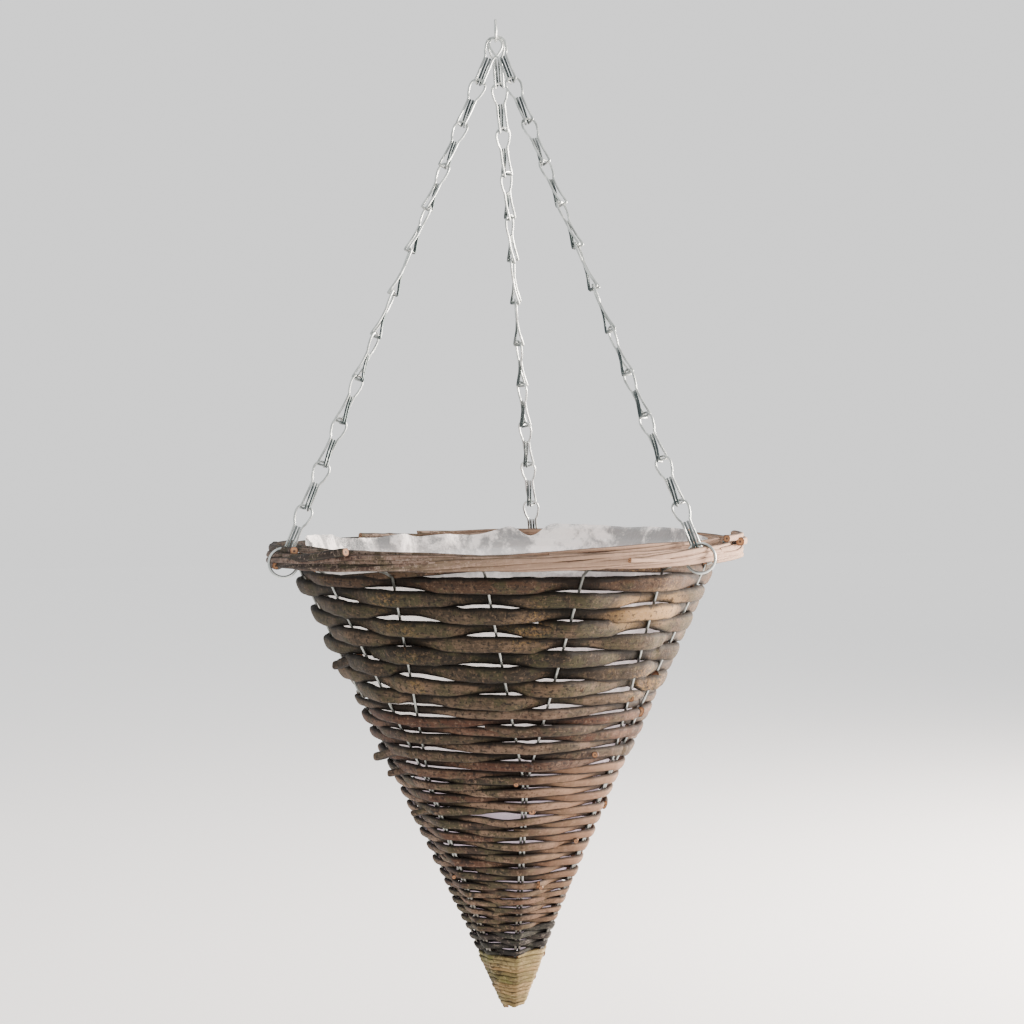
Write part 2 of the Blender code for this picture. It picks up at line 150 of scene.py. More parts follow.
# %% A finish, and the one method that makes its nodes
class Finish:
    """A material under a plain name, built from its principled shader."""

    def __init__(self, name, **constants):
        self.material = bpy.data.materials.new(name)
        self.material.use_nodes = True
        self.tree = self.material.node_tree
        self.shader = self.tree.nodes["Principled BSDF"]
        for socket, value in constants.items():
            self.shader.inputs[socket.replace("_", " ")].default_value = value

    def node(self, kind, settings=None, sockets=None, output=0):
        """Makes a node of a kind. Its settings come first, then the values or links of its sockets."""
        made = self.tree.nodes.new("ShaderNode" + kind)
        for setting, value in (settings or {}).items():
            if setting == "stops":
                while len(made.color_ramp.elements) < len(value):
                    made.color_ramp.elements.new(1.0)
                for element, (place, colour) in zip(made.color_ramp.elements, value):
                    element.position = place
                    element.color = (*colour, 1.0)
            else:
                setattr(made, setting, value)
        for socket, value in (sockets or {}).items():
            self.feed(made.inputs[socket], value)
        return Shade(self, made.outputs[output])

    def feed(self, socket, value):
        if isinstance(value, Shade):
            self.tree.links.new(value.socket, socket)
        else:
            socket.default_value = value

    def set(self, **sockets):
        for socket, value in sockets.items():
            self.feed(self.shader.inputs[socket.replace("_", " ")], value)

    def place(self):
        """Coordinates in metres that move with the piece."""
        return self.node("TexCoord", None, output=3)

    def carried(self, label, output=2):
        """What the mesh carries under a label: output 1 is a vector, and 2 a number."""
        return self.node("Attribute", {"attribute_name": label}, output=output)

    def along_axis(self, where, axis):
        """One of three coordinates: axis 0 runs to the viewer's right, and axis 2 up."""
        return self.node("SeparateXYZ", None, {0: where}, output=axis)

    def stretched(self, where, stretch):
        """The same coordinates, drawn out along some of their axes."""
        return self.node("VectorMath", {"operation": "MULTIPLY"}, {0: where, 1: stretch})

    def noise(self, where, scale, detail=3.0, roughness=0.55):
        return self.node("TexNoise", None, {"Vector": where, "Scale": scale, "Detail": detail,
                                            "Roughness": roughness})

    def step(self, value, low, high):
        """0 below low, 1 above high, smooth between them."""
        return self.node("MapRange", {"interpolation_type": "SMOOTHSTEP"},
                         {"Value": value, "From Min": low, "From Max": high})

    def blend(self, share, first, second):
        """Blends two colours: their sockets on a Mix node are 6 and 7, and its colour output is 2."""
        return self.node("Mix", {"data_type": "RGBA"}, {0: share, 6: first, 7: second}, output=2)

    def bump(self, height, strength, distance):
        return self.node("Bump", None, {"Height": height, "Strength": strength, "Distance": distance})


def rgb(red, green, blue, share=1.0):
    """A colour for a socket, darkened or brightened by a share."""
    return (red * share, green * share, blue * share, 1.0)


print("shader helpers ready")

# %% [markdown]
# ## Bark
#
# Dry willow bark is dull and dark, with grey ridges that run along the rod and bands that cross it. Every rod
# mesh below carries the coordinates that its points would have if the rod lay straight, so the ridges follow
# the rod round the basket. `tone` is one random number for each rod, so neighbours differ as they do in life,
# and about one rod in four is reddish. All barks share one class, and each step lays one thing over the
# colour before it: moss, lichen and specks, then painted light and shade.

# %% The clouds and grains that every step of a bark uses
class Bark(Finish):
    """Bark from a dark, a middle and a pale colour."""

    def __init__(self, name, dark, middle, pale):
        super().__init__(name, Specular_IOR_Level=0.25)
        self.dark, self.middle, self.pale = dark, middle, pale
        self.straight = self.carried("straight", 1)
        self.where = self.place()
        self.tone = self.carried("tone")
        self.along = self.stretched(self.straight, (1.0, 1.0, 0.1))
        self.ridges = self.noise(self.along, 800.0, 4.0, 0.65)
        self.bands = self.noise(self.stretched(self.straight, (0.25, 0.25, 1.0)), 520.0, 3.0, 0.7)
        self.patches = self.noise(self.straight, 55.0, 3.0)
        self.mottle = self.noise(self.straight, 300.0, 4.0, 0.7)
        self.kind = self.node("Math", {"operation": "FRACT"}, {0: self.tone * 7.3})

    def grown(self):
        """The colour of a clean rod, with streaks along it. Some rods are reddish."""
        streaks = self.noise(self.along, 230.0, 3.0)
        share = self.tone * 0.5 + streaks * 0.6 + self.patches * 0.8 + self.mottle * 0.8
        stops = [(0.0, self.dark), (0.5, self.middle), (1.0, self.pale)]
        colour = self.node("ValToRGB", {"stops": stops}, {"Fac": self.step(share, 0.95, 1.75)})
        red, green, blue = self.middle
        reddish = rgb(1.35 * red, 0.85 * green, 0.72 * blue)
        return self.blend(self.step(self.kind, 0.65, 0.9) * 0.5, colour, reddish)

    def worn(self, colour, moss):
        """Olive spots, dark ridges along the rod and pale bands across it."""
        spots = self.step(self.noise(self.where, 60.0, 4.0, 0.65) + 0.12 * (0.5 - self.kind), 0.46, 0.6)
        colour = self.blend(spots * 0.75, colour, rgb(*moss))
        colour = self.blend(self.step(self.ridges, 0.45, 0.68) * 0.6, colour, rgb(*self.dark, share=0.4))
        return self.blend(self.step(self.bands, 0.56, 0.7) * 0.35, colour, rgb(*self.pale))

    def pitted(self, colour):
        """Pale specks and dark pits, a millimetre or two across."""
        specks = self.step(self.noise(self.straight, 340.0, 3.0, 0.7), 0.56, 0.64)
        colour = self.blend(specks * 0.5, colour, rgb(*self.pale, share=1.15))
        pits = self.step(self.noise(self.straight, 330.0, 3.0, 0.6), 0.56, 0.62)
        return self.blend(pits * 0.75, colour, rgb(*self.dark, share=0.35))


print("bark steps: grown, worn, pitted")

# %% [markdown]
# Yellow-orange lichen grows in patches on the thick rods, and a little on the middle ones. One patch at the
# right is bigger and brighter, so it has a place of its own. Heights count more than once in the distance to
# it, which makes it wider than tall.

# %% Lichen
LICHEN_PLACE = (0.103, -0.098, -0.430)
LICHEN_SQUEEZE = 2.5


def lichened(finish, colour, lichen):
    """Golden grains in patches, and a golden ground in the big patch."""
    squeeze = (1.0, 1.0, LICHEN_SQUEEZE)
    middle = tuple(part * share for part, share in zip(LICHEN_PLACE, squeeze))
    far = finish.node("VectorMath", {"operation": "DISTANCE"},
                      {0: finish.stretched(finish.where, squeeze), 1: middle}, output=1)
    near = 1.0 - finish.step(far, 0.015, 0.05)
    colour = finish.blend(near * 0.75 * lichen, colour, rgb(0.38, 0.225, 0.095))
    grains = finish.step(finish.noise(finish.straight, 480.0, 3.0, 0.7), 0.50, 0.60)
    patches = finish.step(finish.noise(finish.where, 14.0, 2.0), 0.47, 0.64)
    return finish.blend((patches * 0.7 + near) * grains * lichen, colour, rgb(0.26, 0.15, 0.05))


print("lichen at", LICHEN_PLACE)

# %% [markdown]
# The left of the cone is painted darker, as shade, and the right paler, as light. The lamps alone don't give
# that, so both are laid on by the side of the basket. Painted shade also darkens rods where they meet: `edge`
# rises to 1 at the top and foot of a rod, and on the stretches that pass inside a wire.

# %% Painted light and shade
# Where the painted shade on the left side fades out, in metres.
LEFT_SHADE_BETWEEN = (-0.14, -0.01)


def painted_light_and_shade(finish, colour, side_light, side_light_from, reach, crease_shade):
    """Painted shade at the left, painted light at the right, and painted shade where rods meet."""
    side = finish.along_axis(finish.where, 0)
    # Painted shade darkens the left side of the basket.
    left_shade = 1.0 - finish.step(side + finish.patches * 0.06, *LEFT_SHADE_BETWEEN)
    colour = finish.blend(left_shade * 0.38, colour, rgb(*finish.dark, share=1.1))
    # Painted light pales the right side of the basket.
    right_light = finish.step(side + finish.patches * 0.04, side_light_from, side_light_from + reach) * side_light
    red, green, blue = finish.pale
    colour = finish.blend(right_light, colour, rgb(1.12 * red, 0.95 * green, 0.82 * blue))
    # Painted shade: rods darken at their top and foot and where they pass inside a wire.
    edge = finish.step(finish.carried("edge"), 0.6, 0.97)
    return finish.blend(edge * crease_shade, colour, rgb(*finish.dark, share=0.25))


def bark(name, dark, middle, pale, moss, lichen=0.0, ridge=1.0, side_light=0.35, side_light_from=0.05, reach=0.15,
         crease_shade=0.85):
    """A whole bark. Painted light on the right starts so far right of the middle, in metres, and is full at
    its reach.
    """
    finish = Bark(name, dark, middle, pale)
    colour = finish.worn(finish.grown(), moss)
    if lichen:
        colour = lichened(finish, colour, lichen)
    colour = painted_light_and_shade(finish, finish.pitted(colour), side_light, side_light_from, reach, crease_shade)
    height = finish.ridges * 0.6 + finish.bands * 0.3 + finish.mottle * 0.5
    finish.set(Base_Color=colour, Roughness=0.95 - finish.ridges * 0.3,
               Normal=finish.bump(height, 0.8 * ridge, 1.1 * MM))
    return finish.material


print("painted shade from", LEFT_SHADE_BETWEEN, "m at the left")

# %% [markdown]
# Six barks follow, each from its dark, middle and pale colour and the colour of its mossy spots. The border
# and the straw binding are the palest.

# %% Six barks
# The last numbers of some barks set the painted light on their right side and the painted shade where rods
# meet.
BARKS = {
    "thick_willow": bark(
        "thick_bark", (0.013, 0.009, 0.005), (0.042, 0.028, 0.016), (0.120, 0.076, 0.046),
        moss=(0.040, 0.036, 0.015), lichen=0.9, ridge=1.2, side_light=0.15),
    "brown_willow": bark(
        "brown_bark", (0.016, 0.009, 0.006), (0.055, 0.030, 0.018), (0.135, 0.088, 0.058),
        moss=(0.042, 0.034, 0.018), lichen=0.35, side_light=0.3),
    "fine_willow": bark(
        "fine_bark", (0.015, 0.009, 0.006), (0.058, 0.034, 0.021), (0.18, 0.115, 0.075),
        moss=(0.045, 0.040, 0.018), ridge=0.8, side_light=0.6, side_light_from=0.005, reach=0.07),
    "dark_willow": bark(
        "dark_bark", (0.009, 0.007, 0.006), (0.044, 0.036, 0.029), (0.15, 0.122, 0.10),
        moss=(0.030, 0.031, 0.020), ridge=0.8),
    "straw_willow": bark(
        "straw_bark", (0.045, 0.032, 0.012), (0.13, 0.10, 0.042), (0.27, 0.215, 0.105),
        moss=(0.085, 0.085, 0.022), ridge=0.8, side_light=0.45, side_light_from=0.0, reach=0.04, crease_shade=0.5),
    "border_willow": bark(
        "border_bark", (0.016, 0.010, 0.007), (0.080, 0.052, 0.038), (0.35, 0.262, 0.208),
        moss=(0.050, 0.046, 0.020), side_light=0.75, side_light_from=-0.09),
}
print("barks:", ", ".join(BARKS))

# %% [markdown]
# Where a rod is cut, its wood shows: a dark rim under the bark, orange-brown, then paler, and a dark pith.
# A fan of faces closes each cut, and the attribute `pith` rises to 1 at its middle, so one ramp draws the
# rings.

# %% Cut wood
def cut_wood():
    finish = Finish("cut_wood", Roughness=0.7)
    grain = finish.noise(finish.place(), 700.0, 3.0)
    rings = [(0.0, (0.05, 0.02, 0.010)), (0.2, (0.24, 0.095, 0.035)),
             (0.55, (0.36, 0.19, 0.09)), (0.8, (0.05, 0.02, 0.012))]
    colour = finish.node("ValToRGB", {"stops": rings}, {"Fac": finish.carried("pith") + grain * 0.2 - 0.1})
    finish.set(Base_Color=colour, Normal=finish.bump(grain, 0.4, 0.4 * MM))
    return finish.material


CUT = cut_wood()
print("cut wood ready")

# %% [markdown]
# ## Zinc on wire
#
# Galvanised wire is a bright, cold grey metal. Its coat is never even: it has dull clouds a few millimetres
# long and fine draw marks, so roughness and colour both vary a little. The double hooks of a link are darker,
# partly duller zinc at the cut ends and partly painted shade between the legs: `tone` is highest a little in
# from both ends of an open wire, where its hooks are. The stakes are duller, and rusty brown from where the
# fine rods close up.

# %% Galvanised wire
STAIN_BETWEEN = (0.60, 0.66)


def zinc(name, pale, dull, stain=0.0):
    finish = Finish(name, Metallic=1.0)
    place = finish.place()
    clouds = finish.noise(place, 120.0, 3.0)
    marks = finish.noise(place, 1500.0, 2.0)
    # The hooks' tone darkens them: partly duller zinc, partly painted shade between the legs.
    share = finish.node("Math", {"operation": "MINIMUM"},
                        {0: finish.step(clouds, 0.3, 0.7) * 0.5 + finish.carried("tone") * 0.8, 1: 1.0})
    colour = finish.blend(share, rgb(*pale), rgb(*dull))
    low = finish.step(finish.along_axis(place, 2) * -1.0, *STAIN_BETWEEN)
    colour = finish.blend(low * stain, colour, rgb(0.09, 0.075, 0.06))
    finish.set(Base_Color=colour, Roughness=0.22 + clouds * 0.25 + marks * 0.08,
               Normal=finish.bump(marks, 0.15, 0.2 * MM))
    return finish.material


ZINC = zinc("galvanised_zinc", (0.60, 0.63, 0.61), (0.06, 0.075, 0.075))
DULL_ZINC = zinc("dull_zinc", (0.34, 0.35, 0.33), (0.12, 0.13, 0.12), stain=0.75)
print("zinc ready")

# %% [markdown]
# ## Film
#
# The liner is a thin milky film. Light passes through it and spreads, so even deep in the cone it shines
# softly between the rods. That light isn't followed here: the film glows with painted light of its own
# instead, warm and bright high up. Painted shade makes the glow duller and mauve low down and on the right,
# and the film's colour darker and mauve low down. Near its rim, which stands in the open, it is grey with
# painted shade in its folds and glows less. It is a little see-through, and its creases are shiny.

# %% Milky film
RIM_BETWEEN = (0.385, 0.43)
LOW_BETWEEN = (0.49, 0.58)
RIGHT_BETWEEN = (0.0, 0.07)


def film():
    finish = Finish("milky_film", Alpha=0.9, Emission_Strength=0.85)
    place = finish.place()
    down = finish.along_axis(place, 2) * -1.0
    deep, low = finish.step(down, *RIM_BETWEEN), finish.step(down, *LOW_BETWEEN)
    right = finish.step(finish.along_axis(place, 0), *RIGHT_BETWEEN)
    clouds = finish.noise(place, 26.0, 4.0)
    creases = finish.noise(place, 70.0, 5.0, 0.7)
    # Painted shade in the folds, for the rim's grey and its glow.
    shade = finish.step(clouds * 0.5 + creases * 0.5, 0.45, 0.56)
    rim = finish.blend(shade, rgb(0.26, 0.265, 0.265), rgb(0.86, 0.82, 0.79))
    # The wall turns darker and mauve low down: painted shade.
    wall = finish.blend(low, rgb(0.90, 0.84, 0.83), rgb(0.62, 0.50, 0.58))
    # The warm glow is painted light for the light through the film; painted shade dims it on the right and
    # low down.
    painted_glow = finish.blend(clouds, rgb(0.94, 0.84, 0.80), rgb(1.0, 0.95, 0.86))
    painted_glow = finish.blend(right * 0.8, painted_glow, rgb(0.52, 0.41, 0.43))
    painted_glow = finish.blend(low * 0.85, painted_glow, rgb(0.40, 0.31, 0.38))
    # The rim glows little, more where its painted fold shade is pale.
    rim_glow = finish.blend(shade, rgb(0.010, 0.011, 0.012), rgb(0.20, 0.19, 0.18))
    finish.set(Base_Color=finish.blend(deep, rim, wall), Emission_Color=finish.blend(deep, rim_glow, painted_glow),
               Roughness=0.2 + creases * 0.35, Normal=finish.bump(creases, 0.8, 6 * MM))
    return finish.material


FILM = film()
print("film ready")

# %% [markdown]
# ## Rods as bundles of rings
#
# A rod is a tube whose section changes: it tapers from its butt to its tip, swells at knots and is never
# quite round. So each rod is built as rings of points along a middle line. Several rods of one strand share a
# mesh, because they are woven end to end and look like one band. The bark of each rod starts at another place
# of its pattern, so that neighbours don't match.

# %% A bundle that gathers rods into one mesh
BARK_APART = 7.0


class Bundle:
    """Rods or wires gathered into one mesh, with the coordinates of each as if it lay straight."""

    def __init__(self):
        self.points = []
        self.faces = []
        self.cuts = []
        self.straight = []
        self.tone = []
        self.edge = []
        self.pith = []
        self.count = 0

    def add(self, rings, run, spread, tone, closed=False, dirt=0.0):
        """Adds a tube. rings has its points by ring and side, run the length up to each ring, and spread how
        far each point lies out from the middle line and up from it."""
        length, sides, _ = rings.shape
        start = self.count
        self.points.append(rings.reshape(-1, 3))
        laid = np.concatenate([spread, np.broadcast_to(run[:, None, None], (length, sides, 1))], axis=2)
        self.straight.append(laid.reshape(-1, 3) + np.array([0, 0, BARK_APART * np.mean(tone)]))
        self.tone.append(np.repeat(np.broadcast_to(tone, length), sides))
        # edge is 1 at the top and foot of each rod and on its inside stretches: it masks painted shade where
        # rods meet.
        level = np.abs(spread[..., 1])
        edge = level / level.max(axis=1, keepdims=True) + np.broadcast_to(dirt, length)[:, None]
        self.edge.append(np.clip(edge, 0, 1).ravel())
        ring = np.arange(length if closed else length - 1)[:, None] * sides
        side = np.arange(sides)[None, :]
        after = (ring + sides) % (length * sides)
        beside = (side + 1) % sides
        corners = np.broadcast_arrays(ring + side, ring + beside, after + beside, after + side)
        self.faces += (np.stack(corners, axis=-1).reshape(-1, 4) + start).tolist()
        self.pith.append(np.zeros(length * sides))
        self.count += length * sides
        if not closed:
            self.close(rings[0], start, laid[0], tone, True)
            self.close(rings[-1], start + (length - 1) * sides, laid[-1], tone, False)

    def close(self, ring, start, laid, tone, backwards):
        """Closes a cut end with a fan round its pith."""
        sides = len(ring)
        self.points.append(ring.mean(axis=0)[None, :])
        self.straight.append(laid.mean(axis=0)[None, :])
        self.tone.append(np.mean(tone)[None])
        self.edge.append(np.zeros(1))
        self.pith.append(np.ones(1))
        for side in range(sides):
            here, beside = start + side, start + (side + 1) % sides
            self.cuts.append((beside, here, self.count) if backwards else (here, beside, self.count))
        self.count += 1

    def piece(self, name, skin, cut=None):
        """Makes the mesh, with the cut ends in their own material."""
        mesh = bpy.data.meshes.new(name)
        mesh.from_pydata(np.concatenate(self.points).tolist(), [], self.faces + self.cuts)
        mesh.materials.append(skin)
        if cut is not None:
            mesh.materials.append(cut)
            for index in range(len(self.faces), len(self.faces) + len(self.cuts)):
                mesh.polygons[index].material_index = 1
        laid = mesh.attributes.new("straight", "FLOAT_VECTOR", "POINT")
        laid.data.foreach_set("vector", np.concatenate(self.straight).astype(np.float32).ravel())
        for label, values in (("tone", self.tone), ("edge", self.edge), ("pith", self.pith)):
            layer = mesh.attributes.new(label, "FLOAT", "POINT")
            layer.data.foreach_set("value", np.concatenate(values).astype(np.float32))
        mesh.shade_smooth()
        mesh.set_sharp_from_angle(angle=math.radians(50))
        return shown(name, mesh)


# %% One rod
FLATNESS = 0.8
LUMP_HEIGHT, LUMP_LENGTH = 0.035, 0.045
KNOT_LENGTH = 0.0028
FIRST_KNOT, KNOT_SPACING = (0.02, 0.08), (0.06, 0.13)
KNOT_HEIGHT = (0.08, 0.28)


def unit(vectors):
    return vectors / np.linalg.norm(vectors, axis=-1, keepdims=True)


def ripple(run, length, random):
    """A smooth random wave along a rod, between about -1 and 1."""
    total = np.zeros_like(run)
    for share, weight in ((1, 0.6), (0.53, 0.35), (0.29, 0.2)):
        wave = length * share * random.uniform(0.8, 1.2)
        total += weight * np.sin(FULL_TURN * run / wave + random.uniform(0, FULL_TURN))
    return total


def rod(bundle, path, out, high, thick, sides, tone, random, slant=0.5, dirt=0.0):
    """Adds one rod along a path. out points away from the cone, and high and thick are half its size."""
    steps = np.linalg.norm(np.diff(path, axis=0), axis=1)
    run = np.concatenate([[0], np.cumsum(steps)])
    ahead = unit(np.gradient(path, axis=0))
    out = unit(out - ahead * (out * ahead).sum(1, keepdims=True))
    up = np.cross(ahead, out)
    up *= np.sign(up[:, 2:3])
    angle = FULL_TURN * np.arange(sides) / sides + (0 if sides % 2 else math.pi / sides)
    swell = np.ones((len(path), sides))
    for turns in (1, 2, 3):
        wave = ripple(run, LUMP_LENGTH / turns, random)[:, None]
        swell += LUMP_HEIGHT * wave * np.cos(turns * angle + random.uniform(0, FULL_TURN))
    for knot in np.arange(random.uniform(*FIRST_KNOT), run[-1], random.uniform(*KNOT_SPACING)):
        bulge = np.exp(-((run - knot) / KNOT_LENGTH) ** 2)[:, None]
        facing = np.clip(np.cos(angle - random.uniform(-1.5, 1.5)), 0, 1) ** 2
        swell += random.uniform(*KNOT_HEIGHT) * bulge * facing
    cosine, sine = (np.sign(part) * np.abs(part) ** FLATNESS for part in (np.cos(angle), np.sin(angle)))
    radial = thick[:, None] * swell * cosine
    level = high[:, None] * swell * sine
    rings = path[:, None, :] + out[:, None, :] * radial[..., None] + up[:, None, :] * level[..., None]
    for end, sign in ((0, -1), (-1, 1)):
        lean = random.uniform(-slant, slant)
        rings[end] += ahead[end] * sign * (high[end] * sine * lean)[:, None]
    spread = np.stack([radial, level], axis=-1)
    if np.cross(out[0], up[0]) @ ahead[0] < 0:
        rings, spread = rings[:, ::-1], spread[:, ::-1]
    bundle.add(rings, run, spread, tone, dirt=dirt)


print("rod helpers ready")

# %% [markdown]
# ## The path of a strand
#
# A strand goes outside one leg of wire and inside the next. Between them it crosses over smoothly, so its
# distance from the cone follows half a cosine wave. A rod that passes inside is also pushed up against the
# row above it, and that is what opens the lens-shaped gaps under it.
#
# Each zone of the cone is described by a few values:
#
# - `high` is half the height of a rod outside a wire, between wires and inside one, and `thick` half its
#   thickness. `shortest` and `longest` bound its length, and `step` and `sides` say how fine its mesh is.
# - `lift` is the push up inside a wire, and `wander` how far a rod strays from its row.
# - `taut` says how straight a rod runs between wires, from 0 for round the cone to 1 for straight. It and
#   `dip`, how much lower the rows are at the front, back and sides, change from the zone's start to its end.
# - `nudges` counts random places where rows are pushed apart or together. `openings` are places where the
#   photo shows a wide gap, by azimuth in degrees, and depth and push in millimetres.

# %% Where the wire legs are
def stake_radius(depth):
    share = (FOOT_DEPTH - depth) / (FOOT_DEPTH - SHOULDER_DEPTH)
    return FOOT_RADIUS + (SHOULDER_RADIUS - FOOT_RADIUS) * share


def leg_at(leg, depth, middle=False):
    """Azimuth and radius of a wire leg, or of the middle of its pair, at a depth."""
    pair, side = divmod(leg, 2)
    spread = FULL_TURN / LEG_COUNT / 2
    share = min(max((depth - SHOULDER_DEPTH) / (MERGE_DEPTH - SHOULDER_DEPTH), 0.0), 1.0)
    high_out = stake_radius(SHOULDER_DEPTH) * math.cos(spread)
    high_across = stake_radius(SHOULDER_DEPTH) * math.sin(spread)
    low_out = stake_radius(max(depth, MERGE_DEPTH))
    out = high_out + (low_out - high_out) * share
    across = 0.0 if middle else (high_across + (PAIR_HALF_GAP - high_across) * share) * (2 * side - 1)
    azimuth = STAKE_TURN + FULL_TURN * pair / STAKE_COUNT + math.atan2(across, out)
    return azimuth, math.hypot(out, across)


# %% The rods of one zone
OPENING_EDGE, OPENING_HEIGHT, OPENING_ARC = 1.5, 9, 0.2
DIP_AZIMUTH = math.radians(3)
WANDER_LENGTH = 0.11
WIRE_CLEARANCE = 0.1 * MM
UP = np.array([0, 0, 1.0])


def nudge(azimuth, depth, where):
    """How far rods are pushed up or down, away from the middle of each opening."""
    shift = np.zeros_like(depth)
    for middle, level, push in where:
        off = (azimuth - math.radians(middle) + math.pi) % FULL_TURN - math.pi
        gap = (depth - level * MM) / MM
        near = np.exp(-(off / OPENING_ARC) ** 2 - (gap / OPENING_HEIGHT) ** 2)
        shift += push * MM * np.tanh(gap / OPENING_EDGE) * near
    return shift


def strand(places, zone, random):
    """A strand's middle line from its crossings: azimuth, depth, radius, side (1 is outside) and size."""
    places = np.array(places)
    crossing = np.arange(len(places))
    length = places[:, 2].mean() * (places[-1, 0] - places[0, 0])
    at = np.linspace(0, len(places) - 1, int(length / zone["step"]))
    azimuth, depth, radius, _, size = (np.interp(at, crossing, column) for column in places.T)
    corners = on_cone(places[:, 2], places[:, 0], places[:, 1])
    taut = np.stack([np.interp(at, crossing, column) for column in corners.T], axis=-1)
    tight = np.linspace(*zone["taut"], len(at))[:, None]
    low = np.clip(np.floor(at).astype(int), 0, len(places) - 2)
    share = (1 - np.cos(math.pi * (at - low))) / 2
    side = places[low, 3] + (places[low + 1, 3] - places[low, 3]) * share
    run = np.linspace(0, length, len(at))
    reach = STAKE_WIRE / 2 + zone["thick"] * size + WIRE_CLEARANCE
    lift = zone["lift"] * np.interp(at, crossing, random.uniform(0.2, 1.7, len(places)))
    climb = size * (lift * np.clip(-side, 0, 1) + zone["wander"] * ripple(run, WANDER_LENGTH, random))
    low_depth, high_depth = depth.min() / MM, depth.max() / MM
    where = [(random.uniform(-180, 180), random.uniform(low_depth, high_depth), random.uniform(-0.8, 0.9))
             for _ in range(zone["nudges"])]
    push = nudge(azimuth, depth, where + zone["openings"])
    push = push - np.linspace(*zone["dip"], len(at)) * np.abs(np.sin(2 * (azimuth - DIP_AZIMUTH)))
    path = on_cone(radius, azimuth, depth) * (1 - tight) + taut * tight - UP * push[:, None]
    path = path + outwards(azimuth) * (side * reach + climb * math.sin(CONE_ANGLE))[:, None]
    path = path + UP * (climb * math.cos(CONE_ANGLE))[:, None]
    out = outwards(azimuth) * math.cos(CONE_ANGLE) - UP * math.sin(CONE_ANGLE)
    return run, path, out, side, size


# %% [markdown]
# Weavers lay a new rod beside the end of the last one and tuck both ends in behind the row. So each rod
# overlaps the one before it, its thin tip bends inwards, and most butts do too.

# %% A strand cut into rods
LAP = 0.022
TIP_LENGTH = 0.03
BUTT_TUCK, TIP_TUCK = 0.012, 0.016
# How strongly painted shade darkens a rod where it passes inside a wire.
INSIDE_SHADE = 0.65


def weave(name, places, zone, seed, skin, node, ends=()):
    """Cuts a strand into rods of natural length, whose ends overlap, and makes them one piece."""
    random = np.random.default_rng(seed)
    run, path, out, side, size = strand(places, zone, random)
    outside, between, inside = zone["high"]
    tall = between + (outside - between) * np.clip(side, 0, 1) + (inside - between) * np.clip(-side, 0, 1)
    bundle = Bundle()
    start = 0.0
    end = random.uniform(0.4, 1.0) * zone["longest"]
    while start < run[-1]:
        part = np.flatnonzero((run >= start) & (run <= min(end, run[-1])))
        if len(part) < 6:
            break
        here = run[part] - run[part[0]]
        left = run[part[-1]] - run[part]
        taper = (1.05 - 0.12 * here / zone["longest"]) * size[part]
        tip = 0.62 + 0.38 * np.clip(left / TIP_LENGTH, 0, 1)
        high = tall[part] * taper * tip * (1 + 0.06 * ripple(here, 0.09, random))
        thick = zone["thick"] * taper * tip
        push = zone["thick"] * (0.75 * np.exp(-here / BUTT_TUCK) * random.choice([-1, -1, 1])
                                - 0.8 * np.exp(-left / TIP_TUCK) + 0.3 * ripple(here, 0.08, random))
        slope = zone["high"][1] * random.uniform(0.1, 0.5) * (0.5 - here / here[-1])
        middle = path[part] + out[part] * push[:, None] + UP * slope[:, None]
        rod(bundle, middle, out[part], high, thick, zone["sides"], random.uniform(0, 1), random,
            dirt=INSIDE_SHADE * np.clip(-side[part], 0, 1))
        start = end - LAP
        end = start + random.uniform(zone["shortest"], zone["longest"])
    for end in ends:
        rod_end(bundle, end, random)
    made = bundle.piece(name, BARKS[skin], CUT)
    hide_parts(node)
    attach(made, "basket")
    print(name, "rods:", len(bundle.tone), "points:", bundle.count)
    return made


def rod_end(bundle, end, random):
    """One cut end that sticks out between the rows. It runs from one place to another, each by azimuth in
    degrees and by depth and distance outside the wires in millimetres. Half its thickness comes last."""
    (from_azimuth, from_depth, from_out), (to_azimuth, to_depth, to_out), half = end
    share = np.linspace(0, 1, 12 + int(abs(to_azimuth - from_azimuth)))
    azimuth = np.radians(from_azimuth + (to_azimuth - from_azimuth) * share)
    depth = (from_depth + (to_depth - from_depth) * share) * MM
    far = stake_radius(depth) + (from_out + (to_out - from_out) * share ** 1.5) * MM
    half = half * MM * np.ones(len(share))
    rod(bundle, on_cone(far, azimuth, depth), outwards(azimuth), half, half, 12, random.uniform(0, 1), random,
        slant=0.3)


# %% [markdown]
# ## The thick rods
#
# Two strands chase each other round the upper third. Where one is outside a wire the other is inside, and
# there are fourteen legs, so a strand stays outside the same legs on every turn. A few cut ends and fillers
# lie between the rows, as in the photo.

# %% Two thick strands
THICK = dict(
    high=(6.5 * MM, 6.0 * MM, 4.7 * MM), thick=3.3 * MM, shortest=0.55, longest=0.95, step=3 * MM, sides=16,
    lift=1.9 * MM, wander=0.5 * MM, taut=(0.1, 0.2), dip=(0.0, 0.0), nudges=14, openings=[(-31, 76, 0.8)])
THICK_TAPER_LEGS = 4
TOP_ROW_DEPTH = 19.7 * MM
THICK_PITCH = 10.6 * MM
THICK_TURNS = 4


